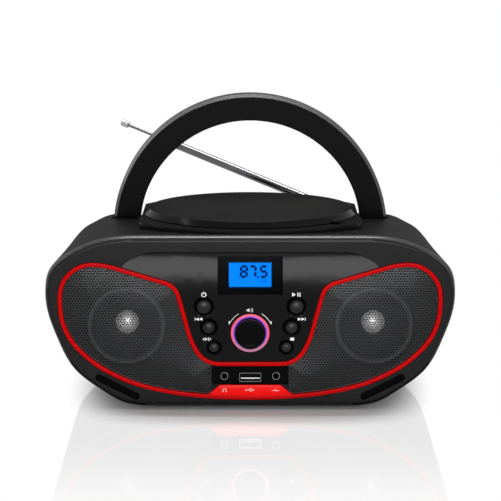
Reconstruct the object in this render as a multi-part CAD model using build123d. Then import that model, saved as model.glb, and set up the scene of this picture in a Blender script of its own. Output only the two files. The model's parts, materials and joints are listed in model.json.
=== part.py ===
# Portable disc player and radio with a folding carry handle and a telescopic antenna.
# Millimetres, +Z up, front towards -Y, origin on the ground under the middle of the whole.
from build123d import *
import math
import os

os.makedirs("parts", exist_ok=True)

# Body
BODY_HALF = 121.1          # half width at the widest, just behind the front rim
BODY_DEPTH = 168.0         # front face to rear face
BODY_BOTTOM = 2.0          # underside above the ground
FRONT_TOP = 104.8          # top of the body behind the front rim
SHOULDER_TOP = 95.4        # top of the lower shoulders that carry the handle
SHOULDER_DEPTH = 126.0     # depth where the shoulders are down
BEZEL_DEPTH = 5.0          # front shell, front face to parting line
WALL = 2.5
FACE_WALL = 4.0            # front face thickness
FRONT_ROUND = 3.4          # inset of the front edge
REAR_ROUND = 6.0           # inset of the rear edge
REAR_RUN = 10.0            # depth over which the rear edge turns in
LIP = 4.0                  # overlap of the front shell inside the cabinet
LIP_WALL = 2.0
LIP_GAP = 42.0             # half length of the lip's break under the deck
FIT = 0.2                  # gap between fixed plastic parts
PARTING = (0.5, 0.6)       # groove between the shells: width and depth
SLOT = (29.0, 4.4)         # slanted recess in the face's lower corners
SLOT_SPOT = (78.6, 14.3)
SLOT_TURN = 27.2
SLOT_FLOOR = 1.2           # face left behind the recess
PEG = 4.0                  # peg that carries the port board

# Red trim loop round the two grilles
TRIM_WIDTH = 2.8
TRIM_PROUD = 1.2
TRIM_ROUND = 0.5
TRIM_SEAT = 1.5            # depth of the trim's groove
BAND_Z = 28.4              # straight run over the port panel
PLATE_TOP = 15.7           # red plate under the port panel
PLATE_HALF = 17.8
PLATE_SPREAD = 6.2
PLATE_DROP = 4.4
TRIM_HALF = TRIM_WIDTH / 2

# Grilles and speakers
GRILLE_THICK = 0.8
GRILLE_HOLE = 2.3          # hexagonal hole, corner radius
GRILLE_PITCH = 6.6
GRILLE_EDGE = 2.4          # plain border outside the outermost holes
GRILLE_LEDGE = 2.0         # ledge that carries the grille's edge
GRILLE_RELIEF = 0.7        # space behind the grille
SPEAKER_X = 73.4
SPEAKER_Z = 50.6
SPEAKER_OPENING = 24.5
FLANGE_R = 29.0
FLANGE_THICK = 1.8
SURROUND_R = 23.5
CONE_R = 20.5
NECK_R = 7.0
CONE_DEPTH = 12.0
MAGNET_R = 17.0
MAGNET_LENGTH = 12.0
BASKET_LENGTH = 17.0
BASKET_WALL = 2.0
BASKET_WINDOW = (16.0, 11.0, 17.0)
CONE_SKIN = 0.8
CONE_RIM = (1.2, 0.6)      # flat edge outside the surround: back and front
SURROUND_ROLL = 0.9
CAP_RISE = 3.4
CAP_SKIN = 0.5
CAP_NECK = 4.0             # tube of the dust cap inside the cone's neck
CONE_BACK = 0.3            # cone's rim behind the flange's front
POLE_STEP = 1.6

# Control panel
PANEL_TOP = 95.2
PANEL_TOP_HALF = 57.0
PANEL_CORNER = (76.0, 85.0)
PANEL_SINK = 3.2           # how far the panel's top edge lies behind the face
PANEL_PROUD = 0.4
PANEL_KNEE = 66.0          # height where the panel turns upright
PANEL_BACK = 5.0
PANEL_FLANGE = 2.5
PANEL_FLANGE_THICK = 1.0
WINDOW = (38.2, 22.4)
WINDOW_Z = 81.3
WINDOW_THICK = 1.4
WINDOW_PROUD = 0.1
WINDOW_ROUND = 1.0
GLUE = 0.05
LCD_GLASS = (24.6, 14.4)
LCD_FRAME = (30.0, 14.8)
LCD_DEPTH = 3.9            # front of the display's glass
BOARD_DEPTH = 14.0         # front face of the control board
BOARD_THICK = 1.6
BOARD_SIZE = (74.0, 56.0)
BOARD_MIDDLE = 60.0
CHIP = (14.0, 14.0, 2.0)
CHIP_Z = 66.0
PLUG = (22.0, 5.0, 6.0)    # ribbon connector
PLUG_Z = 36.0
BUTTON_ROWS = ((27.3, 62.8, 4.1, 6.3), (24.45, 50.4, 3.55, 5.6), (21.3, 38.5, 3.0, 4.5))
BUTTON_NAMES = (("power_button", "play_button"), ("previous_button", "next_button"),
                ("function_button", "stop_button"))
BUTTON_GAP = 0.3
BUTTON_PROUD = 1.9
BUTTON_TRAVEL = 0.6
BUTTON_COLLAR = 1.2        # flange round the button behind the panel
COLLAR_THICK = 0.8
DISH_DEPTH = 1.1
SWITCH_SIZE = 6.0
SWITCH_HEIGHT = 3.4
PLUNGER_HEIGHT = 1.0
KNOB_Z = 47.0
KNOB_R = 8.8
KNOB_PROUD = 5.6
SHAFT_R = 3.0
KNOB_GAP = 0.5             # knob from the panel
KNOB_FACE = 1.6            # thickness of the knob's front
KNOB_ROUND = 1.0
KNOB_HUB = 1.8             # wall round the shaft
RING_R = 11.45
RING_DEPTH = 1.6
RING_PROUD = 0.25
RING_INSIDE = 0.35         # gap between the knob and its light ring
POT_BODY = (17.0, 17.0, 7.0)
POT_BUSH = (4.4, 2.2)      # threaded bush: radius and length
POSTS = ((33.0, 86.0), (-33.0, 86.0), (27.5, 33.6), (-27.5, 33.6))
POST_R = 2.4
BUTTON_ROUND = 1.1
STEM_R = 1.4
STEM_GAP = 0.1             # button's stem from its switch, fully pressed
PLUNGER_R = 1.7

# Port panel
PORT_HALF = 22.5
PORT_Z = (15.9, 26.8)
PORT_THICK = 1.8
PORT_LEDGE = 1.5           # ledge that carries the port panel's ends
SOCKET_Z = 21.1
JACK_X = 15.3
JACK_BORE = 1.8
JACK_LENGTH = 14.0
JACK_COLLAR = 2.7
JACK_WIDTH = 9.0
JACK_PROUD = 0.5           # collar in front of the port panel
USB_SHELL = (13.7, 5.7, 13.0)
USB_WALL = 0.4
USB_TONGUE = (11.1, 1.9)
USB_TONGUE_DROP = 0.5
USB_TONGUE_BACK = 1.2
PORT_BOARD = (48.0, 20.0)

# Top deck, lid and hinge
LID_DEPTH = 84.0           # depth of the disc's centre
LID_R = 66.0
LID_TOP = 110.1
LID_WALL = 2.2
LID_FOOT = 106.4
DECK_TOP = 106.1
DECK_R = 77.0
DECK_SHIFT = 1.5           # deck centre behind the disc's centre
DECK_HALF = 67.5
DECK_FOOT = 91.0
DECK_WALL = 2.2
WELL_R = 61.5
WELL_FLOOR = 96.0
WELL_WALL = 2.0
HINGE_BACK = 70.0          # hinge axis behind the disc's centre
HINGE_Z = 105.4
HINGE_R = 3.0
HINGE_HALF = 19.7
HINGE_PIN_R = 1.5
PIN_HALF = HINGE_HALF + 4.3
HINGE_GAP = 0.6
HINGE_CHEEK = 5.0          # deck on each side of the hinge
DECK_ROUND = 1.2
DECK_SKIN = 2.4
CATCH = (4.5, 1.6)         # half width and reach of the lid's catch
WINDOW_HALF = 16.0         # slot for the laser in the well's floor
WINDOW_LENGTH = 78.0
SCOOP = (53.0, -42.5)      # finger scoop beside the lid, from the disc's centre
SCOOP_R = 12.0
SCOOP_DEPTH = 1.4
TAB = (9.0, 9.0, 1.6)      # the lid's thumb tab
LID_SKIRT = 2.0
LID_BEND = ((3.6, 0.0), (1.4, 0.9), (0.0, 3.0))
RUNNING = 0.05             # radial clearance of a running fit
PRESSED = 0.02             # radial clearance of a fixed pin

# Carry handle
HANDLE_DEPTH = 138.0       # depth of the pivots
HANDLE_Z = 87.0
HANDLE_IN = 71.8
HANDLE_OUT = 88.8
HANDLE_HALF = 8.0          # half thickness front to rear
HANDLE_BEVEL = 2.0
HANDLE_GAP = 1.1
HANDLE_FOLD = 60.0
PIVOT_R = 3.0
PIVOT_REACH = 11.0         # pin length inside the handle's foot
PIVOT_HEAD_R = 4.2
PIVOT_HEAD = 2.0
CHANNEL_WALL = 2.2         # wall round the handle's channel
CHANNEL_START = 62.0       # the channel's inner end, where the folded arch leaves the body
PIN_SEAT = HANDLE_IN - HANDLE_GAP - CHANNEL_WALL

# Antenna
ANTENNA_X = 75.2
ANTENNA_Z = 86.0
ANTENNA_BACK = 9.0         # elbow behind the rear face
ANTENNA_TURN = 19.1        # degrees above level
ANTENNA_LEAN = 25.8        # degrees behind the upright
TUBE_R = 2.8
TUBE_LENGTH = 148.0
MID_R = 2.1
MID_OUT = 10.0             # middle tube showing at rest
ROD_R = 1.0
ROD_OUT = 31.0             # rod showing at rest
TIP_R = 2.4
TIP_LENGTH = 6.0
TIP_SOCKET = 3.5
SPINDLE_R = 2.0            # pin the antenna turns on
SPINDLE_REACH = 7.5
TONGUE = 5.4               # flat foot of the outer tube
TONGUE_R = 2.9
EAR = (6.4, 3.2, 1.6)      # knuckle's ears: width, end radius and thickness
EAR_Z = 3.9
PLATE_R = 6.5
PLATE_THICK = 1.5
KNUCKLE_R = 6.0
KNUCKLE_THICK = 2.8
KNUCKLE_GAP = 0.3          # knuckle from its plate
ELBOW_PIN_R = 1.2

# Disc mechanism
DISC_SEAT = 100.5
TURNTABLE_R = 11.0
HUB_R = 7.4
HUB_TOP = 103.2
CHASSIS_TOP = 86.0
CHASSIS_THICK = 2.0
CHASSIS_HALF = 36.0
CHASSIS_FRONT = -66.0
CHASSIS_REAR = 22.0
DAMPER_R = 4.5
DAMPER_HEIGHT = 3.5
DAMPER_BORE = 1.6
DAMPER_GROOVE = (1.2, 2.3)
MECH_SCREW_HEAD = (3.2, 1.6)
DAMPERS = ((30.0, -46.0), (-30.0, -46.0), (30.0, 15.0), (-30.0, 15.0))
RAIL_X = 20.0
RAIL_Z = 90.5
RAIL_R = 1.5
SLED_HOME = -24.0
SLED_TRAVEL = 30.0
SLED_LENGTH = 14.0
SLED_HALF = 2.6            # half height of the sled's arms
SLED_WIDTH = 18.0
SLED_ARM = 5.0             # half length of the sled's arms
RAIL_ENDS = (SLED_HOME - SLED_TRAVEL - 9.5, SLED_HOME + 9.5)
RAIL_LENGTH = RAIL_ENDS[1] - RAIL_ENDS[0] + 2.0
RAIL_LUG = 3.5
LENS_R = 4.1
LENS_TOP = 4.8             # lens ring above the rails' axis
LENS_SEAT = 3.4
MOTOR_R = 12.0
MOTOR_LENGTH = 9.0
MOTOR_BUSH = 3.4
MOTOR_PROUD = 0.6
MOTOR_SHAFT = 1.0
PLATTER_FOOT = 1.2         # turntable above the chassis
PLATTER_THICK = 1.8
HUB_RISE = 1.4
HUB_TAPER = 2.4
HUB_BALL = 0.9

# Battery compartment, rear and base
BATTERY_HALF = 78.0
BATTERY_FLOOR = 7.0
BATTERY_ROOF = 36.0
BATTERY_LENGTH = 56.0
DOOR_LAP = 3.0
DOOR_THICK = 2.2
DOOR_HINGE_R = 1.8
DOOR_Z = 8.4               # hinge axis of the battery door
DOOR_EDGE = 0.3            # door's lower edge below its hinge axis
DOOR_KNUCKLE = 8.0         # half length of a door hinge
DOOR_KNUCKLE_X = 60.0
DOOR_GROOVES = 5
DOOR_GROOVE = (14.0, 5.0, 0.8, 0.5)   # half width, first below the edge, height, depth
DOOR_LATCH = (5.0, 2.4, 0.8)
CELLS_APART = 27.0
CONTACT = (20.0, 18.0, 0.5)
TONGUE_REACH = (3.5, 6.0)
SEAT_R = 7.5               # boss behind the antenna's plate
SEAT_DEPTH = 20.0
BOSS_R = 3.4               # screw boss
BOARD_POST_R = 3.0
BOARD_POSTS = (66.0, 8.0, 48.0)
CORE_POST = (18.0, 4.0, 9.0)
VENT = (20.0, 2.2)
VENTS = 9
VENT_START = (-62.0, 58.0)
VENT_PITCH = 4.4
FOOT_R = 7.0
FOOT_SINK = 1.2
FOOT_X = 50.0
FEET_DEPTHS = (22.0, 148.0)
SCREW_R = 1.4
SCREW_HEAD = 3.0
SCREW_SINK = 2.2           # screw seat below the rear face
SCREW_BACK = 0.4           # screw head below the rear face
SCREW_LENGTH = 14.0
SCREWS = ((91.0, 34.0), (96.0, 68.0), (40.0, 80.0))
INLET = (20.0, 15.0, 16.0)
INLET_X = -89.0
INLET_Z = 50.0
INLET_FLANGE = 1.5
INLET_LOBE = 4.6
INLET_PIN = 1.15
PIN_PITCH = 7.8
BOARD_Z = 41.0             # underside of the main board
TRANSFORMER_X = -48.0
TRANSFORMER_DEPTH = 78.0
TRANSFORMER_Z = 8.0
CORE = (48.0, 18.0, 38.0)
COIL = (28.0, 34.0, 24.0)
MAIN_BOARD = (76.0, 54.0, 3.4)   # half width, front and rear edges from the rear face
CAPACITORS = (-52.0, -30.0, 20.0, 44.0, 62.0)
CAPACITOR = (4.5, 12.0)
AMPLIFIER = (12.0, 18.0, 2.4)
HEAT_SINK = (32.0, 6.0, 16.0)
HEAT_SINK_X = 40.0

# The origin lies under the middle of the whole, from the knob's face to the antenna's tip
REACH = TUBE_LENGTH + MID_OUT + ROD_OUT + TIP_LENGTH
TIP_DEPTH = BODY_DEPTH + ANTENNA_BACK + REACH * math.sin(math.radians(ANTENNA_LEAN))
FACE_Y = (KNOB_PROUD - TIP_DEPTH) / 2


def at(depth):
    return FACE_Y + depth


def front_plane(depth):
    return Plane(origin=(0, at(depth), 0), x_dir=(1, 0, 0), z_dir=(0, -1, 0))


def slab(sketch, near, far):
    # solid between two depths behind the face, from a front view sketch
    return extrude(front_plane(far) * sketch, amount=far - near, dir=(0, -1, 0))


def rod_y(radius, near, far, x, z):
    return Pos(x, at((near + far) / 2), z) * Cylinder(radius, far - near, rotation=(90, 0, 0))


def rod_x(radius, x0, x1, y, z):
    return Pos((x0 + x1) / 2, y, z) * Cylinder(radius, x1 - x0, rotation=(0, 90, 0))


def rod_z(radius, z0, z1, x, y):
    return Pos(x, y, (z0 + z1) / 2) * Cylinder(radius, z1 - z0)


def block(x0, x1, y0, y1, z0, z1):
    return Pos((x0 + x1) / 2, (y0 + y1) / 2, (z0 + z1) / 2) * Box(x1 - x0, y1 - y0, z1 - z0)


def both_sides(part):
    return part + mirror(part, about=Plane.YZ)


LID_Y = at(LID_DEPTH)
DECK_Y = LID_Y + DECK_SHIFT
HINGE_Y = LID_Y + HINGE_BACK
HANDLE_Y = at(HANDLE_DEPTH)
REAR_Y = at(BODY_DEPTH)
DOOR_Y = REAR_Y - 1.5
TRANSFORMER_Y = at(TRANSFORMER_DEPTH)

# Body outline: offsets from the half width and the top at three depths
# flat, shoulder (in, down), corner (in, down), side down; below, (in, up) from the underside
FRONT_FORM = (55.1, 24.1, 5.0, 7.1, 15.1, 34.8)
REAR_FORM = (33.5, 14.2, 5.2, 5.0, 15.4, 31.4)
FRONT_LOWER = (6.4, 42.0, 17.0, 22.2, 34.6, 8.4, 64.0)
REAR_LOWER = (4.6, 39.5, 12.0, 21.5, 22.6, 10.5, 48.0)
STATIONS = (
    (BEZEL_DEPTH, BODY_HALF, FRONT_TOP, FRONT_FORM + FRONT_LOWER),
    (SHOULDER_DEPTH, BODY_HALF - 0.4, SHOULDER_TOP, REAR_FORM + REAR_LOWER),
    (BODY_DEPTH, BODY_HALF - 7.1, SHOULDER_TOP - 1.4, REAR_FORM + REAR_LOWER),
)


def blend_station(depth):
    depth = max(depth, STATIONS[0][0])
    first, last = (STATIONS[0], STATIONS[1]) if depth <= STATIONS[1][0] else (STATIONS[1], STATIONS[2])
    share = (depth - first[0]) / (last[0] - first[0])
    half = first[1] + (last[1] - first[1]) * share
    top = first[2] + (last[2] - first[2]) * share
    form = [a + (b - a) * share for a, b in zip(first[3], last[3])]
    return half, top, form


def body_section(depth, inset=0.0):
    half, top, form = blend_station(depth)
    flat, sh_in, sh_down, co_in, co_down, side_down = form[:6]
    flank_in, flank_up, haunch_in, haunch_up, heel_in, heel_up, sole_in = form[6:]
    flat_x = half - flat
    shoulder = (half - sh_in - 0.38 * inset, top - sh_down - 0.92 * inset)
    corner = (half - co_in - 0.80 * inset, top - co_down - 0.60 * inset)
    side = (half - inset, top - side_down)
    flank = (half - flank_in - 0.96 * inset, BODY_BOTTOM + flank_up + 0.27 * inset)
    haunch = (half - haunch_in - 0.84 * inset, BODY_BOTTOM + haunch_up + 0.54 * inset)
    heel = (half - heel_in - 0.50 * inset, BODY_BOTTOM + heel_up + 0.87 * inset)
    sole = (half - sole_in, BODY_BOTTOM + inset)
    upper = Spline([(flat_x, top - inset), shoulder, corner, side], tangents=[(1, 0), (0, -1)])
    lower = Spline([side, flank, haunch, heel, sole], tangents=[(0, -1), (-1, 0)])
    edges = [
        Line((-flat_x, top - inset), (flat_x, top - inset)),
        upper,
        lower,
        Line(sole, (-sole[0], sole[1])),
        mirror(lower, about=Plane.YZ),
        mirror(upper, about=Plane.YZ),
    ]
    outline = Wire([e for piece in edges for e in piece.edges()])
    return front_plane(depth) * Face(outline)


def lofted(stations):
    return loft([body_section(depth, inset) for depth, inset in stations], ruled=True)


def rounding(radius, from_depth, to_depth, wall=0.0, steps=5):
    # sections that turn the body's edge round to the rear face, on a quarter ellipse
    turns = [math.pi / 2 * (i + 1) / steps for i in range(steps)]
    return [(from_depth + (to_depth - from_depth) * math.sin(a), wall + radius * (1 - math.cos(a)))
            for a in turns]


def front_edge(steps=4):
    # the rounded rim of the front face, from the face back to the parting line
    turns = [math.pi / 2 * i / steps for i in range(steps + 1)]
    deep = BEZEL_DEPTH - PARTING[0]
    return [(deep * (1 - math.cos(a)), FRONT_ROUND * (1 - math.sin(a))) for a in turns]


def loop_half():
    # the right half of the trim's middle line, from the top middle round to the bottom middle
    return [
        Line((0, BAND_Z), (18.3, BAND_Z)),
        Spline([(18.3, BAND_Z), (28.2, 32.0), (34.8, 42.5), (39.2, 57.7), (42.2, 68.5)],
               tangents=[(1, 0), (0.28, 1)]),
        Spline([(42.2, 68.5), (44.6, 73.6), (50.0, 77.0)], tangents=[(0.28, 1), (1, 0.3)]),
        Line((50.0, 77.0), (75.4, 84.62)),
        Spline([(75.4, 84.62), (84.0, 87.0), (92.9, 88.0)], tangents=[(1, 0.3), (1, 0)]),
        Spline([(92.9, 88.0), (102.6, 85.3), (109.4, 78.6), (112.1, 67.0)], tangents=[(1, 0), (0, -1)]),
        Spline([(112.1, 67.0), (109.8, 50.6), (101.4, 37.1), (86.3, 25.0), (68.4, 16.6), (44.0, 10.9),
                (0, 8.0)], tangents=[(0, -1), (-1, 0)]),
    ]


def loop_area(grow, steps=8):
    # the area inside the loop's middle line moved outwards by grow
    edges = []
    for piece in loop_half():
        straight = isinstance(piece, Line)
        count = 1 if straight else steps
        points, headings = [], []
        for i in range(count + 1):
            spot, heading = piece @ (i / count), piece % (i / count)
            points.append((spot.X - heading.Y * grow, spot.Y + heading.X * grow))
            headings.append((heading.X, heading.Y))
        if straight:
            moved = Line(*points)
        else:
            moved = Spline(points, tangents=[headings[0], headings[-1]])
        edges += moved.edges()
        edges += mirror(moved, about=Plane.YZ).edges()
    return Sketch() + Face(Wire(edges))


def plate_area(grow=0.0):
    # the flat plate that widens the trim under the port panel
    top, flank = PLATE_TOP + grow, PLATE_HALF + grow
    return Polygon((-flank, top), (flank, top), (flank + PLATE_SPREAD, top - PLATE_DROP), (flank, 0),
                   (-flank, 0), (-flank - PLATE_SPREAD, top - PLATE_DROP), align=None)


def panel_area(grow=0.0):
    top = PANEL_TOP + grow
    cx, cz = PANEL_CORNER[0] + grow, PANEL_CORNER[1]
    right = [
        Spline([(PANEL_TOP_HALF, top), (PANEL_TOP_HALF + 11, top - 3.2), (cx, cz)],
               tangents=[(1, 0), (0.35, -1)]),
        Line((cx, cz), (cx, BAND_Z)),
    ]
    edges = [e for piece in right for e in piece.edges()]
    edges += [e for piece in right for e in mirror(piece, about=Plane.YZ).edges()]
    edges += [Line((-PANEL_TOP_HALF, top), (PANEL_TOP_HALF, top)).edge(),
              Line((-cx, BAND_Z), (cx, BAND_Z)).edge()]
    area = Sketch() + Face(Wire(edges))
    return (area - loop_area(TRIM_HALF + FIT - grow)).faces().sort_by(SortBy.AREA)[-1]


def behind_panel(sink=0.0):
    # everything behind the panel's curved skin, moved back by sink
    d0, d1 = PANEL_SINK, -PANEL_PROUD
    skin = Spline([(at(d0 + sink), PANEL_TOP + 0.6), (at(d1 + sink), PANEL_KNEE)],
                  tangents=[(-0.35, -1), (0, -1)])
    low, deep = 0.0, at(40)
    profile = Wire([
        skin.edge(),
        Edge.make_line((at(d1 + sink), PANEL_KNEE), (at(d1 + sink), low)),
        Edge.make_line((at(d1 + sink), low), (deep, low)),
        Edge.make_line((deep, low), (deep, 130)),
        Edge.make_line((deep, 130), (at(d0 + sink), 130)),
        Edge.make_line((at(d0 + sink), 130), (at(d0 + sink), PANEL_TOP + 0.6)),
    ])
    side = Plane(origin=(-100, 0, 0), x_dir=(0, 1, 0), z_dir=(1, 0, 0))
    return extrude(side * Face(profile), amount=200, dir=(1, 0, 0))


def deck_plan(grow=0.0):
    disc = Pos(0, DECK_Y) * Circle(DECK_R + grow)
    return disc & (Pos(0, DECK_Y) * Rectangle(2 * (DECK_HALF + grow), 3 * DECK_R))


def slot_sketch():
    # dark slanted recess in the lower corner of the face
    return Pos(*SLOT_SPOT) * Rot(0, 0, SLOT_TURN) * SlotOverall(*SLOT)


def button_spots():
    for (x, z, cap, dish), names in zip(BUTTON_ROWS, BUTTON_NAMES):
        for side, name in zip((-1, 1), names):
            yield name, side * x, z, cap, dish


def make_front_bezel():
    bezel = lofted(front_edge())
    bezel += lofted([(BEZEL_DEPTH - PARTING[0], PARTING[1]), (BEZEL_DEPTH, PARTING[1])])
    bezel += lofted([(BEZEL_DEPTH, WALL + FIT), (BEZEL_DEPTH + LIP, WALL + FIT)])
    bezel -= lofted([(FACE_WALL, WALL + FIT + LIP_WALL), (BEZEL_DEPTH + LIP, WALL + FIT + LIP_WALL)])
    bezel -= block(-LIP_GAP, LIP_GAP, at(BEZEL_DEPTH), at(BEZEL_DEPTH + LIP + 1), DECK_FOOT - 4, FRONT_TOP)
    bezel -= slab(loop_area(TRIM_HALF + FIT), -1, TRIM_SEAT)
    floor = loop_area(-TRIM_HALF - GRILLE_LEDGE) - Rectangle(2 * (PORT_HALF - PORT_LEDGE), 2 * PANEL_TOP)
    bezel -= slab(floor, 0, TRIM_SEAT + GRILLE_RELIEF)
    for side in (-1, 1):
        bezel -= rod_y(SPEAKER_OPENING, -1, 10, side * SPEAKER_X, SPEAKER_Z)
    bezel -= slab(Sketch() + panel_area(FIT), -1, 10)
    bezel -= both_sides(slab(slot_sketch(), -1, FACE_WALL - SLOT_FLOOR))
    for x in (-JACK_X, JACK_X):
        bezel -= rod_y(JACK_COLLAR + FIT, -1, 10, x, SOCKET_Z)
    bezel -= slab(Pos(0, SOCKET_Z) * Rectangle(USB_SHELL[0] + 2 * FIT, USB_SHELL[1] + 2 * FIT), -1, 10)
    board_top = SOCKET_Z - JACK_WIDTH / 2
    for x in (-PORT_HALF - 0.5, PORT_HALF + 0.5):
        bezel += block(x - PEG / 2, x + PEG / 2, at(FACE_WALL), at(FACE_WALL + PORT_BOARD[1] + 1),
                       BODY_BOTTOM + WALL + 1, board_top - BOARD_THICK)
    return bezel


def make_red_trim():
    band = loop_area(TRIM_HALF) - loop_area(-TRIM_HALF)
    plate = plate_area() & loop_area(0)
    trim = slab(band, -TRIM_PROUD + TRIM_ROUND, TRIM_SEAT)
    crest = loop_area(TRIM_HALF - TRIM_ROUND) - loop_area(-TRIM_HALF + TRIM_ROUND)
    trim += slab(crest, -TRIM_PROUD, -TRIM_PROUD + TRIM_ROUND)
    return trim + slab(plate, -TRIM_PROUD + 0.4, TRIM_SEAT)


def make_grille(side):
    middle = Rectangle(2 * (PORT_HALF + FIT), 200) + plate_area(FIT)
    field = (loop_area(-TRIM_HALF - FIT) - middle).faces().sort_by(Axis.X)[-1]
    reach = GRILLE_HOLE + GRILLE_EDGE
    ring = [Vector(reach * math.cos(a), reach * math.sin(a), 0) for a in [math.pi * i / 4 for i in range(8)]]
    spots = []
    rise = GRILLE_PITCH * math.sqrt(3) / 2
    for row in range(-7, 8):
        for column in range(-9, 10):
            x = SPEAKER_X + (column + (row % 2) / 2) * GRILLE_PITCH
            z = SPEAKER_Z + row * rise
            if all(field.is_inside(Vector(x, z, 0) + step) for step in ring):
                spots.append((x, z))
    holes = Sketch() + [Pos(x, z) * RegularPolygon(GRILLE_HOLE, 6) for x, z in spots]
    plate = slab((Sketch() + field) - holes, TRIM_SEAT - GRILLE_THICK, TRIM_SEAT)
    return plate if side > 0 else mirror(plate, about=Plane.YZ)


def make_speaker_frame(side):
    x, z = side * SPEAKER_X, SPEAKER_Z
    face = FACE_WALL
    back = face + FLANGE_THICK + BASKET_LENGTH
    frame = rod_y(FLANGE_R, face, face + FLANGE_THICK, x, z)
    middle = at((face + FLANGE_THICK + back) / 2)
    cone = Pos(x, middle, z) * Cone(MAGNET_R - BASKET_WALL, FLANGE_R - BASKET_WALL, BASKET_LENGTH,
                                    rotation=(90, 0, 0))
    hollow = Pos(x, middle - BASKET_WALL, z) * Cone(MAGNET_R - 2 * BASKET_WALL, FLANGE_R - 2 * BASKET_WALL,
                                                    BASKET_LENGTH, rotation=(90, 0, 0))
    frame = frame + cone - hollow - rod_y(SURROUND_R + CONE_BACK, face - 1, face + FLANGE_THICK + 0.5, x, z)
    for quarter in range(4):
        window = Pos(x, at(face + FLANGE_THICK + BASKET_LENGTH / 2), z) * Rot(0, 45 + 90 * quarter, 0)
        frame -= window * (Pos(SURROUND_R, 0, 0) * Box(*BASKET_WINDOW))
    return frame - rod_y(NECK_R + 1.5, face, back + 1, x, z)


def make_speaker_cone(side):
    x, z = side * SPEAKER_X, SPEAKER_Z
    y = at(FACE_WALL + CONE_BACK)
    rim_back, rim_front = CONE_RIM
    roll_middle = ((CONE_R + SURROUND_R) / 2, -SURROUND_ROLL)
    skin = Polyline((NECK_R, CONE_DEPTH), (CONE_R, rim_back), (SURROUND_R, rim_back), (SURROUND_R, rim_front))
    roll = Spline([(SURROUND_R, rim_front), roll_middle, (CONE_R, rim_back - CONE_SKIN)])
    inside = Polyline((CONE_R, rim_back - CONE_SKIN), (NECK_R, CONE_DEPTH - CONE_SKIN), (NECK_R, CONE_DEPTH))
    profile = Face(Wire([e for c in (skin, roll, inside) for e in c.edges()]))
    half = Plane(origin=(x, y, z), x_dir=(1, 0, 0), z_dir=(0, 0, 1)) * profile
    return revolve(half, Axis((x, y, z), (0, 1, 0)), 360)


def make_dust_cap(side):
    x, z = side * SPEAKER_X, SPEAKER_Z
    ball = (NECK_R ** 2 + CAP_RISE ** 2) / (2 * CAP_RISE)
    base = FACE_WALL + CONE_BACK + CONE_DEPTH - CONE_SKIN
    middle = Pos(x, at(base - CAP_RISE + ball), z)
    dome = middle * Sphere(ball) - middle * Sphere(ball - CAP_SKIN)
    dome = dome & rod_y(NECK_R + 1, base - CAP_RISE, base, x, z)
    neck = rod_y(NECK_R - PRESSED, base, base + CAP_NECK, x, z)
    return dome + neck - rod_y(NECK_R - PRESSED - CAP_SKIN, base, base + CAP_NECK + 1, x, z)


def make_magnet(side):
    start = FACE_WALL + FLANGE_THICK + BASKET_LENGTH
    x, z = side * SPEAKER_X, SPEAKER_Z
    end = start + MAGNET_LENGTH
    magnet = rod_y(MAGNET_R + 1, start, start + POLE_STEP, x, z)
    magnet += rod_y(MAGNET_R, start + POLE_STEP, end - POLE_STEP, x, z)
    return magnet + rod_y(MAGNET_R - 1, end - POLE_STEP, end, x, z)


def make_control_panel():
    area = Sketch() + panel_area()
    panel = slab(area, -2, PANEL_BACK) & behind_panel()
    panel += slab(Sketch() + panel_area(PANEL_FLANGE), FACE_WALL, FACE_WALL + PANEL_FLANGE_THICK)
    pocket = slab(Pos(0, WINDOW_Z) * Rectangle(WINDOW[0] + 0.2, WINDOW[1] + 0.2), -3, 20)
    panel -= pocket - behind_panel(WINDOW_THICK)
    panel -= slab(Pos(0, WINDOW_Z) * Rectangle(LCD_GLASS[0] + 2 * FIT, LCD_GLASS[1] + 2 * FIT), -3, 20)
    for name, x, z, cap, dish in button_spots():
        panel -= rod_y(cap + BUTTON_GAP, -3, 10, x, z)
        bowl = Pos(x, at(-PANEL_PROUD + DISH_DEPTH / 2), z) * Cone(
            cap + BUTTON_GAP, dish, DISH_DEPTH, rotation=(90, 0, 0))
        panel -= bowl
    panel -= rod_y(RING_R + 0.1, -3, -PANEL_PROUD + RING_DEPTH, 0, KNOB_Z)
    panel -= rod_y(SHAFT_R + 2.6, -3, 20, 0, KNOB_Z)
    for x, z in POSTS:
        panel += rod_y(POST_R, PANEL_BACK - 0.5, BOARD_DEPTH, x, z)
    return panel


def make_window():
    glass = slab(Pos(0, WINDOW_Z) * RectangleRounded(WINDOW[0], WINDOW[1], WINDOW_ROUND), -3, 20)
    return (glass & behind_panel(-WINDOW_PROUD)) - behind_panel(WINDOW_THICK - GLUE)


def make_lcd():
    frame = slab(Pos(0, WINDOW_Z) * Rectangle(*LCD_FRAME), PANEL_BACK + BUTTON_GAP, BOARD_DEPTH)
    glass = slab(Pos(0, WINDOW_Z) * Rectangle(*LCD_GLASS), LCD_DEPTH, PANEL_BACK + BUTTON_GAP)
    return frame + glass


def make_button(x, z, cap):
    face = -PANEL_PROUD - BUTTON_PROUD
    collar_back = PANEL_BACK + BUTTON_GAP + COLLAR_THICK
    button = rod_y(cap, face, collar_back, x, z)
    rim = button.edges().filter_by(GeomType.CIRCLE).sort_by(Axis.Y)[0]
    button = fillet(rim, BUTTON_ROUND)
    button += rod_y(cap + BUTTON_COLLAR, PANEL_BACK + BUTTON_GAP, collar_back, x, z)
    stem_end = BOARD_DEPTH - SWITCH_HEIGHT - PLUNGER_HEIGHT - BUTTON_TRAVEL - STEM_GAP
    return button + rod_y(STEM_R, PANEL_BACK, stem_end, x, z)


def make_switch(x, z):
    switch = Pos(x, at(BOARD_DEPTH - SWITCH_HEIGHT / 2), z) * Box(SWITCH_SIZE, SWITCH_HEIGHT, SWITCH_SIZE)
    return switch + rod_y(PLUNGER_R, BOARD_DEPTH - SWITCH_HEIGHT - PLUNGER_HEIGHT,
                          BOARD_DEPTH - SWITCH_HEIGHT, x, z)


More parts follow.
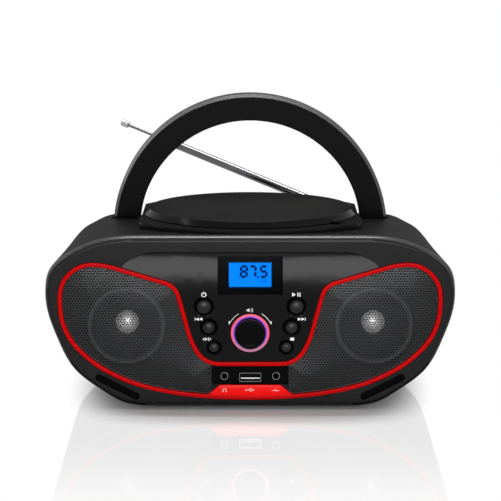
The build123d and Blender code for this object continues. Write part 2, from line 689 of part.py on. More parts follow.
def make_control_board():
    back = BOARD_DEPTH + BOARD_THICK
    board = slab(Pos(0, BOARD_MIDDLE) * Rectangle(*BOARD_SIZE), BOARD_DEPTH, back)
    chip = slab(Pos(0, CHIP_Z) * Rectangle(*CHIP[:2]), back, back + CHIP[2])
    plug = slab(Pos(0, PLUG_Z) * Rectangle(*PLUG[:2]), back, back + PLUG[2])
    return board + chip + plug


def make_knob():
    foot = -PANEL_PROUD - KNOB_GAP
    knob = rod_y(KNOB_R, -KNOB_PROUD, foot, 0, KNOB_Z)
    rim = knob.edges().filter_by(GeomType.CIRCLE).sort_by(Axis.Y)[0]
    knob = fillet(rim, KNOB_ROUND)
    knob += rod_y(SHAFT_R + KNOB_HUB, foot, FACE_WALL, 0, KNOB_Z)
    return knob - rod_y(SHAFT_R, -KNOB_PROUD + KNOB_FACE, PANEL_BACK, 0, KNOB_Z)


def make_knob_ring():
    ring = rod_y(RING_R, -PANEL_PROUD - RING_PROUD, -PANEL_PROUD + RING_DEPTH, 0, KNOB_Z)
    return ring - rod_y(KNOB_R + RING_INSIDE, -KNOB_PROUD, PANEL_BACK, 0, KNOB_Z)


def make_pot():
    width, height, depth = POT_BODY
    pot = slab(Pos(0, KNOB_Z) * Rectangle(width, height), BOARD_DEPTH - depth, BOARD_DEPTH)
    pot += rod_y(POT_BUSH[0], BOARD_DEPTH - depth - POT_BUSH[1], BOARD_DEPTH - depth, 0, KNOB_Z)
    return pot - rod_y(SHAFT_R + RUNNING, BOARD_DEPTH - depth - 3, BOARD_DEPTH - 1.5, 0, KNOB_Z)


def make_port_panel():
    low, high = PORT_Z
    area = Pos(0, (low + high) / 2) * Rectangle(2 * PORT_HALF, high - low)
    area -= [Pos(x, SOCKET_Z) * Circle(JACK_COLLAR + 0.05) for x in (-JACK_X, JACK_X)]
    area -= Pos(0, SOCKET_Z) * Rectangle(USB_SHELL[0] + 0.1, USB_SHELL[1] + 0.1)
    return slab(area, TRIM_SEAT - PORT_THICK, TRIM_SEAT)


def make_jack(x):
    start = TRIM_SEAT - PORT_THICK - JACK_PROUD
    jack = rod_y(JACK_COLLAR, start, FACE_WALL, x, SOCKET_Z)
    jack += slab(Pos(x, SOCKET_Z) * Rectangle(JACK_WIDTH, JACK_WIDTH), FACE_WALL, start + JACK_LENGTH + 2)
    return jack - rod_y(JACK_BORE, start - 1, start + JACK_LENGTH, x, SOCKET_Z)


def make_usb():
    width, height, length = USB_SHELL
    start = TRIM_SEAT - PORT_THICK - WINDOW_PROUD
    socket = slab(Pos(0, SOCKET_Z) * Rectangle(width, height), start, start + length)
    socket -= slab(Pos(0, SOCKET_Z) * Rectangle(width - 2 * USB_WALL, height - 2 * USB_WALL),
                   start - 1, start + length - USB_TONGUE_BACK)
    tongue = Pos(0, SOCKET_Z - USB_TONGUE_DROP) * Rectangle(*USB_TONGUE)
    socket += slab(tongue, start + USB_TONGUE_BACK, start + length)
    foot_top = SOCKET_Z - height / 2
    return socket + block(-width / 2, width / 2, at(FACE_WALL + 2), at(start + length),
                          SOCKET_Z - JACK_WIDTH / 2, foot_top)


def make_port_board():
    top = SOCKET_Z - JACK_WIDTH / 2
    return block(-PORT_BOARD[0] / 2, PORT_BOARD[0] / 2, at(FACE_WALL + 0.5),
                 at(FACE_WALL + 0.5 + PORT_BOARD[1]), top - BOARD_THICK, top)


def handle_channel(grow=0.0):
    # room for the handle from upright to folded, its inner wall a ball round the arch's middle
    reach = HANDLE_HALF + HANDLE_GAP + grow
    fold = math.radians(HANDLE_FOLD)
    foot = (HANDLE_Y + reach * math.cos(fold), HANDLE_Z - reach * math.sin(fold))
    far = (foot[0] + 70 * math.sin(fold), foot[1] + 70 * math.cos(fold))
    outline = Polygon((HANDLE_Y, HANDLE_Z), (HANDLE_Y - reach, HANDLE_Z), (HANDLE_Y - reach, 140),
                      (far[0], 140), far, foot, align=None)
    outline += Pos(HANDLE_Y, HANDLE_Z) * Circle(reach)
    inner, outer = CHANNEL_START - grow, HANDLE_OUT + HANDLE_GAP + grow
    side = Plane(origin=(inner, 0, 0), x_dir=(0, 1, 0), z_dir=(1, 0, 0))
    room = extrude(side * outline, amount=outer - inner, dir=(1, 0, 0))
    return room - Pos(0, HANDLE_Y, HANDLE_Z) * Sphere(HANDLE_IN - HANDLE_GAP - grow)


def make_rear_cabinet():
    rear = BODY_DEPTH - REAR_RUN
    outer = lofted([(BEZEL_DEPTH, 0.0), (SHOULDER_DEPTH, 0.0), (rear, 0.0)]
                   + rounding(REAR_ROUND, rear, BODY_DEPTH))
    hollow = lofted([(BEZEL_DEPTH - 1, WALL), (SHOULDER_DEPTH, WALL), (rear, WALL)]
                    + rounding(REAR_ROUND, rear, BODY_DEPTH - WALL, WALL, 2))

    ledge_low = DECK_FOOT - 2
    collar = extrude(Pos(0, 0, ledge_low) * (deck_plan(FIT + 2) - deck_plan(-2.5)), amount=30)
    pockets = both_sides(handle_channel(CHANNEL_WALL))
    battery = block(-BATTERY_HALF - 2, BATTERY_HALF + 2, REAR_Y - BATTERY_LENGTH - 2, REAR_Y,
                    BODY_BOTTOM, BATTERY_ROOF + 2)
    seat = rod_y(SEAT_R, BODY_DEPTH - SEAT_DEPTH, BODY_DEPTH + SEAT_DEPTH, ANTENNA_X, ANTENNA_Z)
    bosses = [rod_y(BOSS_R, BODY_DEPTH - SCREW_LENGTH - WALL, BODY_DEPTH - 1, side * x, z)
              for x, z in SCREWS for side in (-1, 1)]
    post_x, *post_backs = BOARD_POSTS
    board_posts = [rod_z(BOARD_POST_R, BATTERY_ROOF + 1, BOARD_Z, x, REAR_Y - back)
                   for x in (-post_x, post_x) for back in post_backs]
    post_x, post_half, post_reach = CORE_POST
    core_posts = [block(x - post_half, x + post_half, TRANSFORMER_Y - post_reach, TRANSFORMER_Y + post_reach,
                        BODY_BOTTOM + 1, TRANSFORMER_Z)
                  for x in (TRANSFORMER_X - post_x, TRANSFORMER_X + post_x)]

    cabinet = outer - hollow
    inside = collar + pockets + battery + bosses + board_posts + core_posts
    cabinet += inside & outer
    cabinet += seat & lofted([(BODY_DEPTH - SEAT_DEPTH, 0.0), (BODY_DEPTH, 0.0)])
    cabinet -= extrude(Pos(0, 0, DECK_FOOT) * deck_plan(FIT), amount=40)
    cabinet -= both_sides(handle_channel())
    cabinet -= both_sides(rod_x(PIVOT_R + PRESSED, PIN_SEAT - 1, HANDLE_IN, HANDLE_Y, HANDLE_Z))
    cabinet -= both_sides(rod_x(PIVOT_HEAD_R + FIT, PIN_SEAT - PIVOT_HEAD, PIN_SEAT, HANDLE_Y, HANDLE_Z))
    cabinet -= block(-BATTERY_HALF, BATTERY_HALF, REAR_Y - BATTERY_LENGTH, REAR_Y + 1,
                     BATTERY_FLOOR, BATTERY_ROOF)
    cabinet -= block(-BATTERY_HALF - DOOR_LAP, BATTERY_HALF + DOOR_LAP, REAR_Y - DOOR_THICK - FIT,
                     REAR_Y + 1, BATTERY_FLOOR - 0.2, BATTERY_ROOF + DOOR_LAP)
    for side in (-1, 1):
        hinge_x, hinge_half = side * DOOR_KNUCKLE_X, DOOR_KNUCKLE + 0.3
        cabinet -= rod_x(DOOR_HINGE_R + 0.3, hinge_x - hinge_half, hinge_x + hinge_half, DOOR_Y, DOOR_Z)
        for x, z in SCREWS:
            cabinet -= rod_y(SCREW_R + PRESSED, BODY_DEPTH - SCREW_LENGTH, BODY_DEPTH + 1, side * x, z)
            cabinet -= rod_y(SCREW_HEAD + FIT, BODY_DEPTH - SCREW_SINK, BODY_DEPTH + 1, side * x, z)
        for depth in FEET_DEPTHS:
            cabinet -= rod_z(FOOT_R + 0.05, 0, BODY_BOTTOM + FOOT_SINK, side * FOOT_X, at(depth))
    cabinet -= rod_y(SPINDLE_R + PRESSED, BODY_DEPTH - SPINDLE_REACH - 0.5, BODY_DEPTH + 1,
                     ANTENNA_X, ANTENNA_Z)
    vents = [Pos(VENT_START[0] + VENT_PITCH * i, VENT_START[1]) * SlotOverall(*VENT, rotation=90)
             for i in range(VENTS)]
    cabinet -= slab(Sketch() + vents, BODY_DEPTH - REAR_RUN, BODY_DEPTH + 1)
    cabinet -= slab(Pos(INLET_X, INLET_Z) * Rectangle(INLET[0] + 0.1, INLET[1] + 0.1),
                    BODY_DEPTH - REAR_RUN, BODY_DEPTH + 1)
    return cabinet


def make_top_deck():
    deck = extrude(Pos(0, 0, DECK_FOOT) * deck_plan(), amount=DECK_TOP - DECK_FOOT)
    rim = deck.faces().sort_by(Axis.Z)[-1].outer_wire().edges()
    deck = fillet(rim, DECK_ROUND)
    deck -= extrude(Pos(0, 0, DECK_FOOT - 1) * deck_plan(-DECK_WALL),
                    amount=DECK_TOP - DECK_FOOT + 1 - DECK_SKIN)
    deck += rod_z(WELL_R + WELL_WALL, WELL_FLOOR - WELL_WALL, DECK_TOP - 1, 0, LID_Y)
    room = HINGE_R + HINGE_GAP
    hinge_box = block(-HINGE_HALF - HINGE_CHEEK, HINGE_HALF + HINGE_CHEEK, HINGE_Y - room - DECK_SKIN,
                      HINGE_Y + room + DECK_SKIN, HINGE_Z - room - DECK_SKIN, DECK_TOP - 0.5)
    deck += hinge_box & extrude(Pos(0, 0, DECK_FOOT) * deck_plan(), amount=DECK_TOP - DECK_FOOT)
    deck -= rod_z(WELL_R, WELL_FLOOR, DECK_TOP + 1, 0, LID_Y)
    deck -= block(-HINGE_HALF - FIT, HINGE_HALF + FIT, HINGE_Y - room, HINGE_Y + room,
                  HINGE_Z - room, DECK_TOP + 1)
    deck -= rod_x(HINGE_PIN_R + PRESSED, -PIN_HALF - FIT, PIN_HALF + FIT, HINGE_Y, HINGE_Z)
    window = Pos(0, LID_Y + SLED_HOME) * RectangleRounded(2 * WINDOW_HALF, WINDOW_LENGTH, DAMPER_R)
    window += Pos(0, LID_Y) * Circle(TURNTABLE_R + HINGE_CHEEK)
    deck -= extrude(Pos(0, 0, WELL_FLOOR - 5) * window, amount=8)
    for x, y in DAMPERS:
        deck += rod_z(DAMPER_R - 0.5, CHASSIS_TOP + DAMPER_HEIGHT, WELL_FLOOR - 1, x, LID_Y + y)
    deck -= Pos(SCOOP[0], LID_Y + SCOOP[1], DECK_TOP + SCOOP_R - SCOOP_DEPTH) * Sphere(SCOOP_R)
    half, reach = CATCH
    deck -= block(-half - 1, half + 1, LID_Y - WELL_R - reach - 0.8, LID_Y - WELL_R + 1,
                  DECK_TOP - 6, DECK_TOP + 1)
    return deck


def make_lid():
    bend = [(LID_R - back, LID_TOP - down) for back, down in LID_BEND]
    under, ring = LID_TOP - LID_WALL, WELL_R - 1
    profile = Face(Wire(
        Polyline((0, LID_TOP), bend[0]).edges()
        + [Spline(bend, tangents=[(1, 0), (0.2, -1)]).edge()]
        + Polyline(bend[-1], (LID_R, LID_FOOT), (LID_R - LID_SKIRT, LID_FOOT), (LID_R - LID_SKIRT, under),
                   (ring, under), (ring, LID_FOOT - LID_SKIRT), (ring - LID_SKIRT, LID_FOOT - LID_SKIRT),
                   (ring - LID_SKIRT, under), (0, under), (0, LID_TOP)).edges()))
    side = Plane(origin=(0, LID_Y, 0), x_dir=(1, 0, 0), z_dir=(0, -1, 0))
    lid = revolve(side * profile, Axis((0, LID_Y, 0), (0, 0, 1)), 360)
    lid += block(-HINGE_HALF, HINGE_HALF, HINGE_Y - 8, HINGE_Y, LID_FOOT, HINGE_Z + HINGE_R)
    lid += rod_x(HINGE_R, -HINGE_HALF, HINGE_HALF, HINGE_Y, HINGE_Z)
    lid -= rod_x(HINGE_PIN_R + RUNNING, -HINGE_HALF - 1, HINGE_HALF + 1, HINGE_Y, HINGE_Z)
    turn = math.degrees(math.atan2(SCOOP[1], SCOOP[0]))
    tab = Pos(SCOOP[0], LID_Y + SCOOP[1], LID_FOOT + TAB[2] / 2) * Rot(0, 0, turn)
    lid += tab * (Pos(-TAB[0] / 3, 0, 0) * Box(*TAB))
    half, reach = CATCH
    lid += block(-half, half, LID_Y - WELL_R - reach, LID_Y - WELL_R + LID_WALL, LID_FOOT - half, LID_TOP - 1)
    return lid


def make_handle():
    inner, outer, half = HANDLE_IN, HANDLE_OUT, HANDLE_HALF
    bevel, small = HANDLE_BEVEL, HANDLE_BEVEL / 2
    profile = Polygon((inner + small, -half), (outer - bevel, -half), (outer, -half + bevel),
                      (outer, half - bevel), (outer - bevel, half), (inner + small, half),
                      (inner, half - small), (inner, -half + small), align=None)
    start = Plane(origin=(0, HANDLE_Y, HANDLE_Z), x_dir=(1, 0, 0), z_dir=(0, 0, 1)) * profile
    arch = revolve(start, Axis((0, HANDLE_Y, HANDLE_Z), (0, -1, 0)), 180)
    arch += both_sides(rod_x(half, inner, outer, HANDLE_Y, HANDLE_Z))
    return arch - both_sides(rod_x(PIVOT_R + RUNNING, inner - 1, inner + PIVOT_REACH + 0.5,
                                   HANDLE_Y, HANDLE_Z))


def make_pivot_pin():
    pin = rod_x(PIVOT_R, PIN_SEAT - 1, HANDLE_IN + PIVOT_REACH, HANDLE_Y, HANDLE_Z)
    return pin + rod_x(PIVOT_HEAD_R, PIN_SEAT - PIVOT_HEAD, PIN_SEAT, HANDLE_Y, HANDLE_Z)


ELBOW = (ANTENNA_X, REAR_Y + ANTENNA_BACK, ANTENNA_Z)
TURNED = Location(ELBOW) * Rot(0, ANTENNA_TURN, 0)
POINTED = TURNED * Rot(0, 0, -ANTENNA_LEAN)


def along(radius, start, end):
    # a rod on the antenna's own line, measured from the elbow
    return Pos(-(start + end) / 2, 0, 0) * Cylinder(radius, end - start, rotation=(0, 90, 0))


def make_antenna_bracket():
    plate = rod_y(PLATE_R, BODY_DEPTH, BODY_DEPTH + PLATE_THICK, ANTENNA_X, ANTENNA_Z)
    return plate + rod_y(SPINDLE_R, BODY_DEPTH - SPINDLE_REACH, BODY_DEPTH + 3.6, ANTENNA_X, ANTENNA_Z)


def make_antenna_knuckle():
    width, end, thick = EAR
    middle = -ANTENNA_BACK + PLATE_THICK + KNUCKLE_GAP + KNUCKLE_THICK / 2
    base = Pos(0, middle, 0) * Cylinder(KNUCKLE_R, KNUCKLE_THICK, rotation=(90, 0, 0))
    base -= Pos(0, middle - 0.8, 0) * Cylinder(SPINDLE_R + RUNNING, 3.0, rotation=(90, 0, 0))
    ears = Part()
    for side in (-1, 1):
        ears += Pos(0, middle / 2, side * EAR_Z) * Box(width, -middle, thick)
        ears += Pos(0, 0, side * EAR_Z) * Cylinder(end, thick)
    ears -= Cylinder(ELBOW_PIN_R + PRESSED, 3 * EAR_Z)
    return TURNED * (base + ears)


def make_elbow_pin():
    return TURNED * Cylinder(ELBOW_PIN_R, 9.4)


def make_antenna_tube():
    tongue = Cylinder(TONGUE_R, TONGUE) + Pos(-4, 0, 0) * Box(8, TONGUE, TONGUE)
    tube = tongue + along(TUBE_R, 7, TUBE_LENGTH) - along(MID_R + RUNNING, 8.5, TUBE_LENGTH + 1)
    return POINTED * (tube - Cylinder(ELBOW_PIN_R + RUNNING, 10))


def make_mid_tube():
    end = TUBE_LENGTH + MID_OUT
    tube = along(MID_R, MID_OUT + 9, end)
    return POINTED * (tube - along(ROD_R + RUNNING, MID_OUT + 12, end + 1))


def make_rod():
    return POINTED * along(ROD_R, MID_OUT + ROD_OUT + 13, TUBE_LENGTH + MID_OUT + ROD_OUT + TIP_SOCKET)


def make_tip():
    start = TUBE_LENGTH + MID_OUT + ROD_OUT
    tip = along(TIP_R, start, start + TIP_LENGTH)
    ends = tip.edges().filter_by(GeomType.CIRCLE)
    return POINTED * (fillet(ends, 0.9) - along(ROD_R, start - 1, start + TIP_SOCKET))


def make_chassis():
    y0, y1 = LID_Y + CHASSIS_FRONT, LID_Y + CHASSIS_REAR
    low = CHASSIS_TOP - CHASSIS_THICK
    plate = block(-CHASSIS_HALF, CHASSIS_HALF, y0, y1, low, CHASSIS_TOP)
    plate -= rod_z(4.0, low - 1, CHASSIS_TOP + 1, 0, LID_Y)
    plate -= block(-10, 10, LID_Y + SLED_HOME - SLED_TRAVEL - 9, LID_Y + SLED_HOME + 9, low - 1,
                   CHASSIS_TOP + 1)
    for x in (-RAIL_X, RAIL_X):
        for y in RAIL_ENDS:
            plate += block(x - RAIL_LUG, x + RAIL_LUG, LID_Y + y - RAIL_R, LID_Y + y + RAIL_R,
                           CHASSIS_TOP - 0.5, RAIL_Z + SLED_HALF)
        plate -= Pos(x, LID_Y + sum(RAIL_ENDS) / 2, RAIL_Z) * Cylinder(
            RAIL_R + PRESSED, RAIL_LENGTH, rotation=(90, 0, 0))
    for x, y in DAMPERS:
        plate -= rod_z(DAMPER_BORE, low - 1, CHASSIS_TOP + 1, x, LID_Y + y)
    return plate


def make_rails():
    return [Pos(x, LID_Y + sum(RAIL_ENDS) / 2, RAIL_Z) * Cylinder(RAIL_R, RAIL_LENGTH, rotation=(90, 0, 0))
            for x in (-RAIL_X, RAIL_X)]


def make_dampers():
    pads = []
    for x, y in DAMPERS:
        pad = rod_z(DAMPER_R, CHASSIS_TOP, CHASSIS_TOP + DAMPER_HEIGHT, x, LID_Y + y)
        low, high = [CHASSIS_TOP + level for level in DAMPER_GROOVE]
        groove = rod_z(DAMPER_R + 1, low, high, x, LID_Y + y) - rod_z(DAMPER_R - 1, low, high, x, LID_Y + y)
        pads.append(pad - groove - rod_z(DAMPER_BORE, CHASSIS_TOP - 1, CHASSIS_TOP + 5, x, LID_Y + y))
    return pads


def make_mech_screws():
    low = CHASSIS_TOP - CHASSIS_THICK
    head_r, head = MECH_SCREW_HEAD
    return [rod_z(DAMPER_BORE - 0.1, low, CHASSIS_TOP + DAMPER_HEIGHT, x, LID_Y + y)
            + rod_z(head_r, low - head, low, x, LID_Y + y) for x, y in DAMPERS]


def make_spindle_motor():
    top = CHASSIS_TOP - CHASSIS_THICK
    motor = rod_z(MOTOR_R, top - MOTOR_LENGTH, top, 0, LID_Y)
    motor += rod_z(MOTOR_BUSH, top, CHASSIS_TOP + MOTOR_PROUD, 0, LID_Y)
    return motor - rod_z(MOTOR_SHAFT + RUNNING, top - MOTOR_LENGTH + 1, CHASSIS_TOP + 5, 0, LID_Y)


def make_turntable():
    base, top = CHASSIS_TOP + PLATTER_FOOT, DISC_SEAT
    rise = top + HUB_RISE
    hub = rod_z(4.0, base, top, 0, LID_Y) + rod_z(TURNTABLE_R, top - PLATTER_THICK, top, 0, LID_Y)
    hub += rod_z(HUB_R, top, rise, 0, LID_Y)
    hub += Pos(0, LID_Y, (rise + HUB_TOP) / 2) * Cone(HUB_R, HUB_R - HUB_TAPER, HUB_TOP - rise)
    hub += rod_z(MOTOR_SHAFT, CHASSIS_TOP - CHASSIS_THICK - MOTOR_LENGTH + 1.5, base, 0, LID_Y)
    ball = Pos(HUB_R - 1.1, 0, top + 2.1) * Sphere(HUB_BALL)
    for i in range(3):
        hub += Pos(0, LID_Y, 0) * Rot(0, 0, 120 * i) * ball
    return hub


def make_sled():
    y = LID_Y + SLED_HOME
    sled = block(-RAIL_X - 4, RAIL_X + 4, y - SLED_ARM, y + SLED_ARM, RAIL_Z - SLED_HALF, RAIL_Z + SLED_HALF)
    sled += block(-SLED_WIDTH / 2, SLED_WIDTH / 2, y - SLED_LENGTH / 2, y + SLED_LENGTH / 2,
                  CHASSIS_TOP - 4, RAIL_Z + LENS_TOP - 0.2)
    for x in (-RAIL_X, RAIL_X):
        sled -= Pos(x, y, RAIL_Z) * Cylinder(RAIL_R + RUNNING, 20, rotation=(90, 0, 0))
    return sled - rod_z(LENS_R + 0.1, RAIL_Z + LENS_SEAT, RAIL_Z + 6, 0, y)


def make_lens():
    y = LID_Y + SLED_HOME
    ring = rod_z(LENS_R, RAIL_Z + LENS_SEAT, RAIL_Z + LENS_TOP, 0, y)
    dome = Pos(0, y, RAIL_Z + LENS_TOP / 2) * Sphere(LENS_R - 0.1)
    return ring + (dome & rod_z(LENS_R - 0.7, RAIL_Z + LENS_TOP - 0.8, RAIL_Z + 8, 0, y))


def make_battery_door():
    width = 2 * (BATTERY_HALF + DOOR_LAP - FIT)
    low, high = DOOR_Z - DOOR_EDGE, BATTERY_ROOF + DOOR_LAP - FIT
    back = REAR_Y - DOOR_THICK
    door = block(-width / 2, width / 2, back, REAR_Y, low, high)
    for i in range(DOOR_GROOVES):
        z = high - DOOR_GROOVE[1] - 2 * DOOR_GROOVE[2] * i
        door -= block(-DOOR_GROOVE[0], DOOR_GROOVE[0], REAR_Y - DOOR_GROOVE[3], REAR_Y + 1,
                      z - DOOR_GROOVE[2] / 2, z + DOOR_GROOVE[2] / 2)
    half = DOOR_KNUCKLE
    for side in (-1, 1):
        x = side * DOOR_KNUCKLE_X
        door -= block(x - half - 1, x + half + 1, back - 1, REAR_Y + 1, low - 1, DOOR_Z + DOOR_HINGE_R + 0.6)
        door += rod_x(DOOR_HINGE_R, x - half, x + half, DOOR_Y, DOOR_Z)
        door += block(x - half, x + half, back, DOOR_Y + 0.4, DOOR_Z, DOOR_Z + DOOR_HINGE_R + 1.0)
    reach, low, high = DOOR_LATCH
    return door + block(-reach - 1, reach + 1, back - reach, back, BATTERY_ROOF - low, BATTERY_ROOF - high)


def make_battery_contacts():
    contacts = []
    length, height, thick = CONTACT
    reach, width = TONGUE_REACH
    z = (BATTERY_FLOOR + BATTERY_ROOF) / 2
    for back in (-CELLS_APART / 2, CELLS_APART / 2):
        y = REAR_Y - BATTERY_LENGTH / 2 + back
        plate = block(BATTERY_HALF - thick, BATTERY_HALF, y - length / 2, y + length / 2,
                      z - height / 2, z + height / 2)
        plate += block(BATTERY_HALF - thick - reach, BATTERY_HALF - thick, y - width / 2, y + width / 2,
                       z + height / 4, z + height / 4 + thick)
        contacts += [plate, mirror(plate, about=Plane.YZ)]
    return contacts


def make_transformer():
    width, depth, height = CORE
    core = Pos(TRANSFORMER_X, TRANSFORMER_Y, TRANSFORMER_Z + height / 2) * Box(width, depth, height)
    return core + Pos(TRANSFORMER_X, TRANSFORMER_Y, TRANSFORMER_Z + height / 2) * Box(*COIL)


def make_main_board():
    top = BOARD_Z + BOARD_THICK
    half, front, rear = MAIN_BOARD
    board = block(-half, half, REAR_Y - front, REAR_Y - rear, BOARD_Z, top)
    for x in CAPACITORS:
        board += rod_z(CAPACITOR[0], top, top + CAPACITOR[1], x, REAR_Y - 20)
    reach, depth, height = AMPLIFIER
    board += block(-reach, reach, REAR_Y - 28 - depth, REAR_Y - 28, top, top + height)
    width, depth, height = HEAT_SINK
    return board + Pos(HEAT_SINK_X, REAR_Y - 44 - depth / 2, top + height / 2) * Box(width, depth, height)


def make_inlet():
    width, height, length = INLET
    near, far = BODY_DEPTH - length, BODY_DEPTH - 0.4
    inlet = slab(Pos(INLET_X, INLET_Z) * Rectangle(width, height), near, far)
    well = [Pos(INLET_X + side * PIN_PITCH / 2, INLET_Z) * Circle(INLET_LOBE) for side in (-1, 1)]
    well = Sketch() + well
    inlet -= slab(well, near + 3, far + 1)
    grow = 2 * INLET_FLANGE
    inlet += slab(Pos(INLET_X, INLET_Z) * Rectangle(width + grow, height + grow), BODY_DEPTH - 6,
                  BODY_DEPTH - WALL)
    for side in (-1, 1):
        inlet += rod_y(INLET_PIN, near + 2, far - 2, INLET_X + side * PIN_PITCH / 2, INLET_Z)
    return inlet


def make_screw(x, z):
    screw = rod_y(SCREW_R, BODY_DEPTH - SCREW_LENGTH + 0.5, BODY_DEPTH - SCREW_BACK - 1, x, z)
    return screw + rod_y(SCREW_HEAD, BODY_DEPTH - SCREW_SINK, BODY_DEPTH - SCREW_BACK, x, z)


def make_foot(x, depth):
    return rod_z(FOOT_R, 0, BODY_BOTTOM + FOOT_SINK, x, at(depth))


def group(solids):
    return Compound(children=[s for piece in solids for s in piece.solids()])


builders = {
    "front_bezel": make_front_bezel,
    "rear_cabinet": make_rear_cabinet,
    "top_deck": make_top_deck,
    "disc_lid": make_lid,
    "lid_hinge_pin": lambda: rod_x(HINGE_PIN_R, -PIN_HALF, PIN_HALF, HINGE_Y, HINGE_Z),
    "carry_handle": make_handle,
    "handle_pivot_pins": lambda: group([make_pivot_pin(), mirror(make_pivot_pin(), about=Plane.YZ)]),
    "antenna_bracket": make_antenna_bracket,
    "antenna_knuckle": make_antenna_knuckle,
    "antenna_elbow_pin": make_elbow_pin,
    "antenna_tube": make_antenna_tube,
    "antenna_middle_tube": make_mid_tube,
    "antenna_rod": make_rod,
    "antenna_tip": make_tip,
    "red_trim": make_red_trim,
    "control_panel": make_control_panel,
    "display_window": make_window,
    "display_module": make_lcd,
    "tact_switches": lambda: group([make_switch(x, z) for _, x, z, _, _ in button_spots()]),
    "control_board": make_control_board,
    "volume_knob": make_knob,
    "volume_shaft": lambda: rod_y(SHAFT_R, -KNOB_PROUD + KNOB_FACE, BOARD_DEPTH - 2, 0, KNOB_Z),
    "knob_light_ring": make_knob_ring,
    "volume_potentiometer": make_pot,
    "port_panel": make_port_panel,
    "headphone_jack": lambda: make_jack(-JACK_X),
    "aux_jack": lambda: make_jack(JACK_X),
    "usb_socket": make_usb,
    "port_board": make_port_board,
    "mechanism_chassis": make_chassis,
    "guide_rods": lambda: group(make_rails()),
    "rubber_dampers": lambda: group(make_dampers()),
    "mechanism_screws": lambda: group(make_mech_screws()),
    "spindle_motor": make_spindle_motor,
    "turntable": make_turntable,
    "laser_sled": make_sled,
    "laser_lens": make_lens,
    "battery_door": make_battery_door,
    "battery_contacts": lambda: group(make_battery_contacts()),
    "transformer": make_transformer,
    "main_board": make_main_board,
    "power_inlet": make_inlet,
    "case_screws": lambda: group([make_screw(side * x, z) for x, z in SCREWS for side in (-1, 1)]),
    "rubber_feet": lambda: group([make_foot(side * FOOT_X, depth) for depth in FEET_DEPTHS
                                  for side in (-1, 1)]),
}
for side, word in ((-1, "left"), (1, "right")):
    builders[word + "_grille"] = lambda side=side: make_grille(side)
    builders[word + "_speaker_frame"] = lambda side=side: make_speaker_frame(side)
    builders[word + "_speaker_cone"] = lambda side=side: make_speaker_cone(side)
    builders[word + "_dust_cap"] = lambda side=side: make_dust_cap(side)
    builders[word + "_speaker_magnet"] = lambda side=side: make_magnet(side)
for name, x, z, cap, dish in button_spots():
    builders[name] = lambda x=x, z=z, cap=cap: make_button(x, z, cap)

for name, build in builders.items():
    shape = build()
    export_step(shape, f"parts/{name}.step")
    print(f"{name:24s} {len(shape.solids())} solids {shape.volume:9.0f} mm3", flush=True)
print(len(builders), "nodes, origin", round(-FACE_Y, 2), "mm behind the face")
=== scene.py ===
import json
import math
import bmesh
import bpy
from mathutils import Matrix, Vector
from mathutils.bvhtree import BVHTree
from mathutils.geometry import interpolate_bezier


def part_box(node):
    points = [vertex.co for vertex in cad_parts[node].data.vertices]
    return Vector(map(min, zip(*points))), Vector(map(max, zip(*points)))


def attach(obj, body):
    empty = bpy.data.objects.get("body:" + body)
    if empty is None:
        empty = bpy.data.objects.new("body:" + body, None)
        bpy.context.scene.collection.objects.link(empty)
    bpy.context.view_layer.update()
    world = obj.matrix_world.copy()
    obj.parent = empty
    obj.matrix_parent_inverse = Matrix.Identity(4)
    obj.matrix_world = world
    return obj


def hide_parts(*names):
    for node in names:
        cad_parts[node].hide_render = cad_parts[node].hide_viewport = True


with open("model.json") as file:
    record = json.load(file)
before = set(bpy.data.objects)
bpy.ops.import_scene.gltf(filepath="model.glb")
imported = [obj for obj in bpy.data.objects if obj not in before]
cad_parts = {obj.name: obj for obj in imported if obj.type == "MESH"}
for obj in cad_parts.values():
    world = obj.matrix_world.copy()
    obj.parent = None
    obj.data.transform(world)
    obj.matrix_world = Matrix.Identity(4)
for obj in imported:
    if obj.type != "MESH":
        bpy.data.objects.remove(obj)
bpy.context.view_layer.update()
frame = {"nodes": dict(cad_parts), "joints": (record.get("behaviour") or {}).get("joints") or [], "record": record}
nodes = frame["nodes"]
scene = bpy.context.scene
mm = 0.001
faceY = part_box("front_bezel")[0][1]
discY = (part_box("turntable")[0][1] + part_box("turntable")[1][1]) / 2
print("frame loaded, front face at", round(faceY / mm, 2), "mm")


class Wire:
    # one socket of a material's tree, so that shader sums read as sums
    def __init__(self, tree, socket=None):
        self.tree, self.socket = tree, socket

    def node(self, kind, settings=None, inputs=None, output=0):
        made = self.tree.nodes.new(kind)
        for key, value in (settings or {}).items():
            setattr(made, key, value)
        for key, value in (inputs or {}).items():
            if isinstance(value, Wire):
                self.tree.links.new(value.socket, made.inputs[key])
            else:
                made.inputs[key].default_value = value
        return Wire(self.tree, made.outputs[output] if made.outputs else None)

    def sum(self, operation, first, second):
        return self.node("ShaderNodeMath", {"operation": operation}, {0: first, 1: second})

    def __add__(self, other):
        return self.sum("ADD", self, other)

    def __sub__(self, other):
        return self.sum("SUBTRACT", self, other)

    def __mul__(self, other):
        return self.sum("MULTIPLY", self, other)

    def __truediv__(self, other):
        return self.sum("DIVIDE", self, other)

    def __pow__(self, other):
        return self.sum("POWER", self, other)

    __radd__ = __add__


def newMaterial(name):
    material = bpy.data.materials.new(name)
    material.use_nodes = True
    material.node_tree.nodes.clear()
    return material, Wire(material.node_tree)


def rgb(colour):
    return (*colour, 1.0)


def place(wire):
    return wire.node("ShaderNodeTexCoord", output="Object")


def noise(wire, scale, detail=2.0, spread=(1.0, 1.0, 1.0)):
    vector = wire.node("ShaderNodeMapping", inputs={"Vector": place(wire), "Scale": spread})
    return wire.node("ShaderNodeTexNoise", inputs={"Vector": vector, "Scale": scale, "Detail": detail})


def blend(wire, factor, first, second):
    # sockets 0, 6 and 7 are the factor and the two colours
    return wire.node("ShaderNodeMix", {"data_type": "RGBA"}, {0: factor, 6: first, 7: second}, output=2)


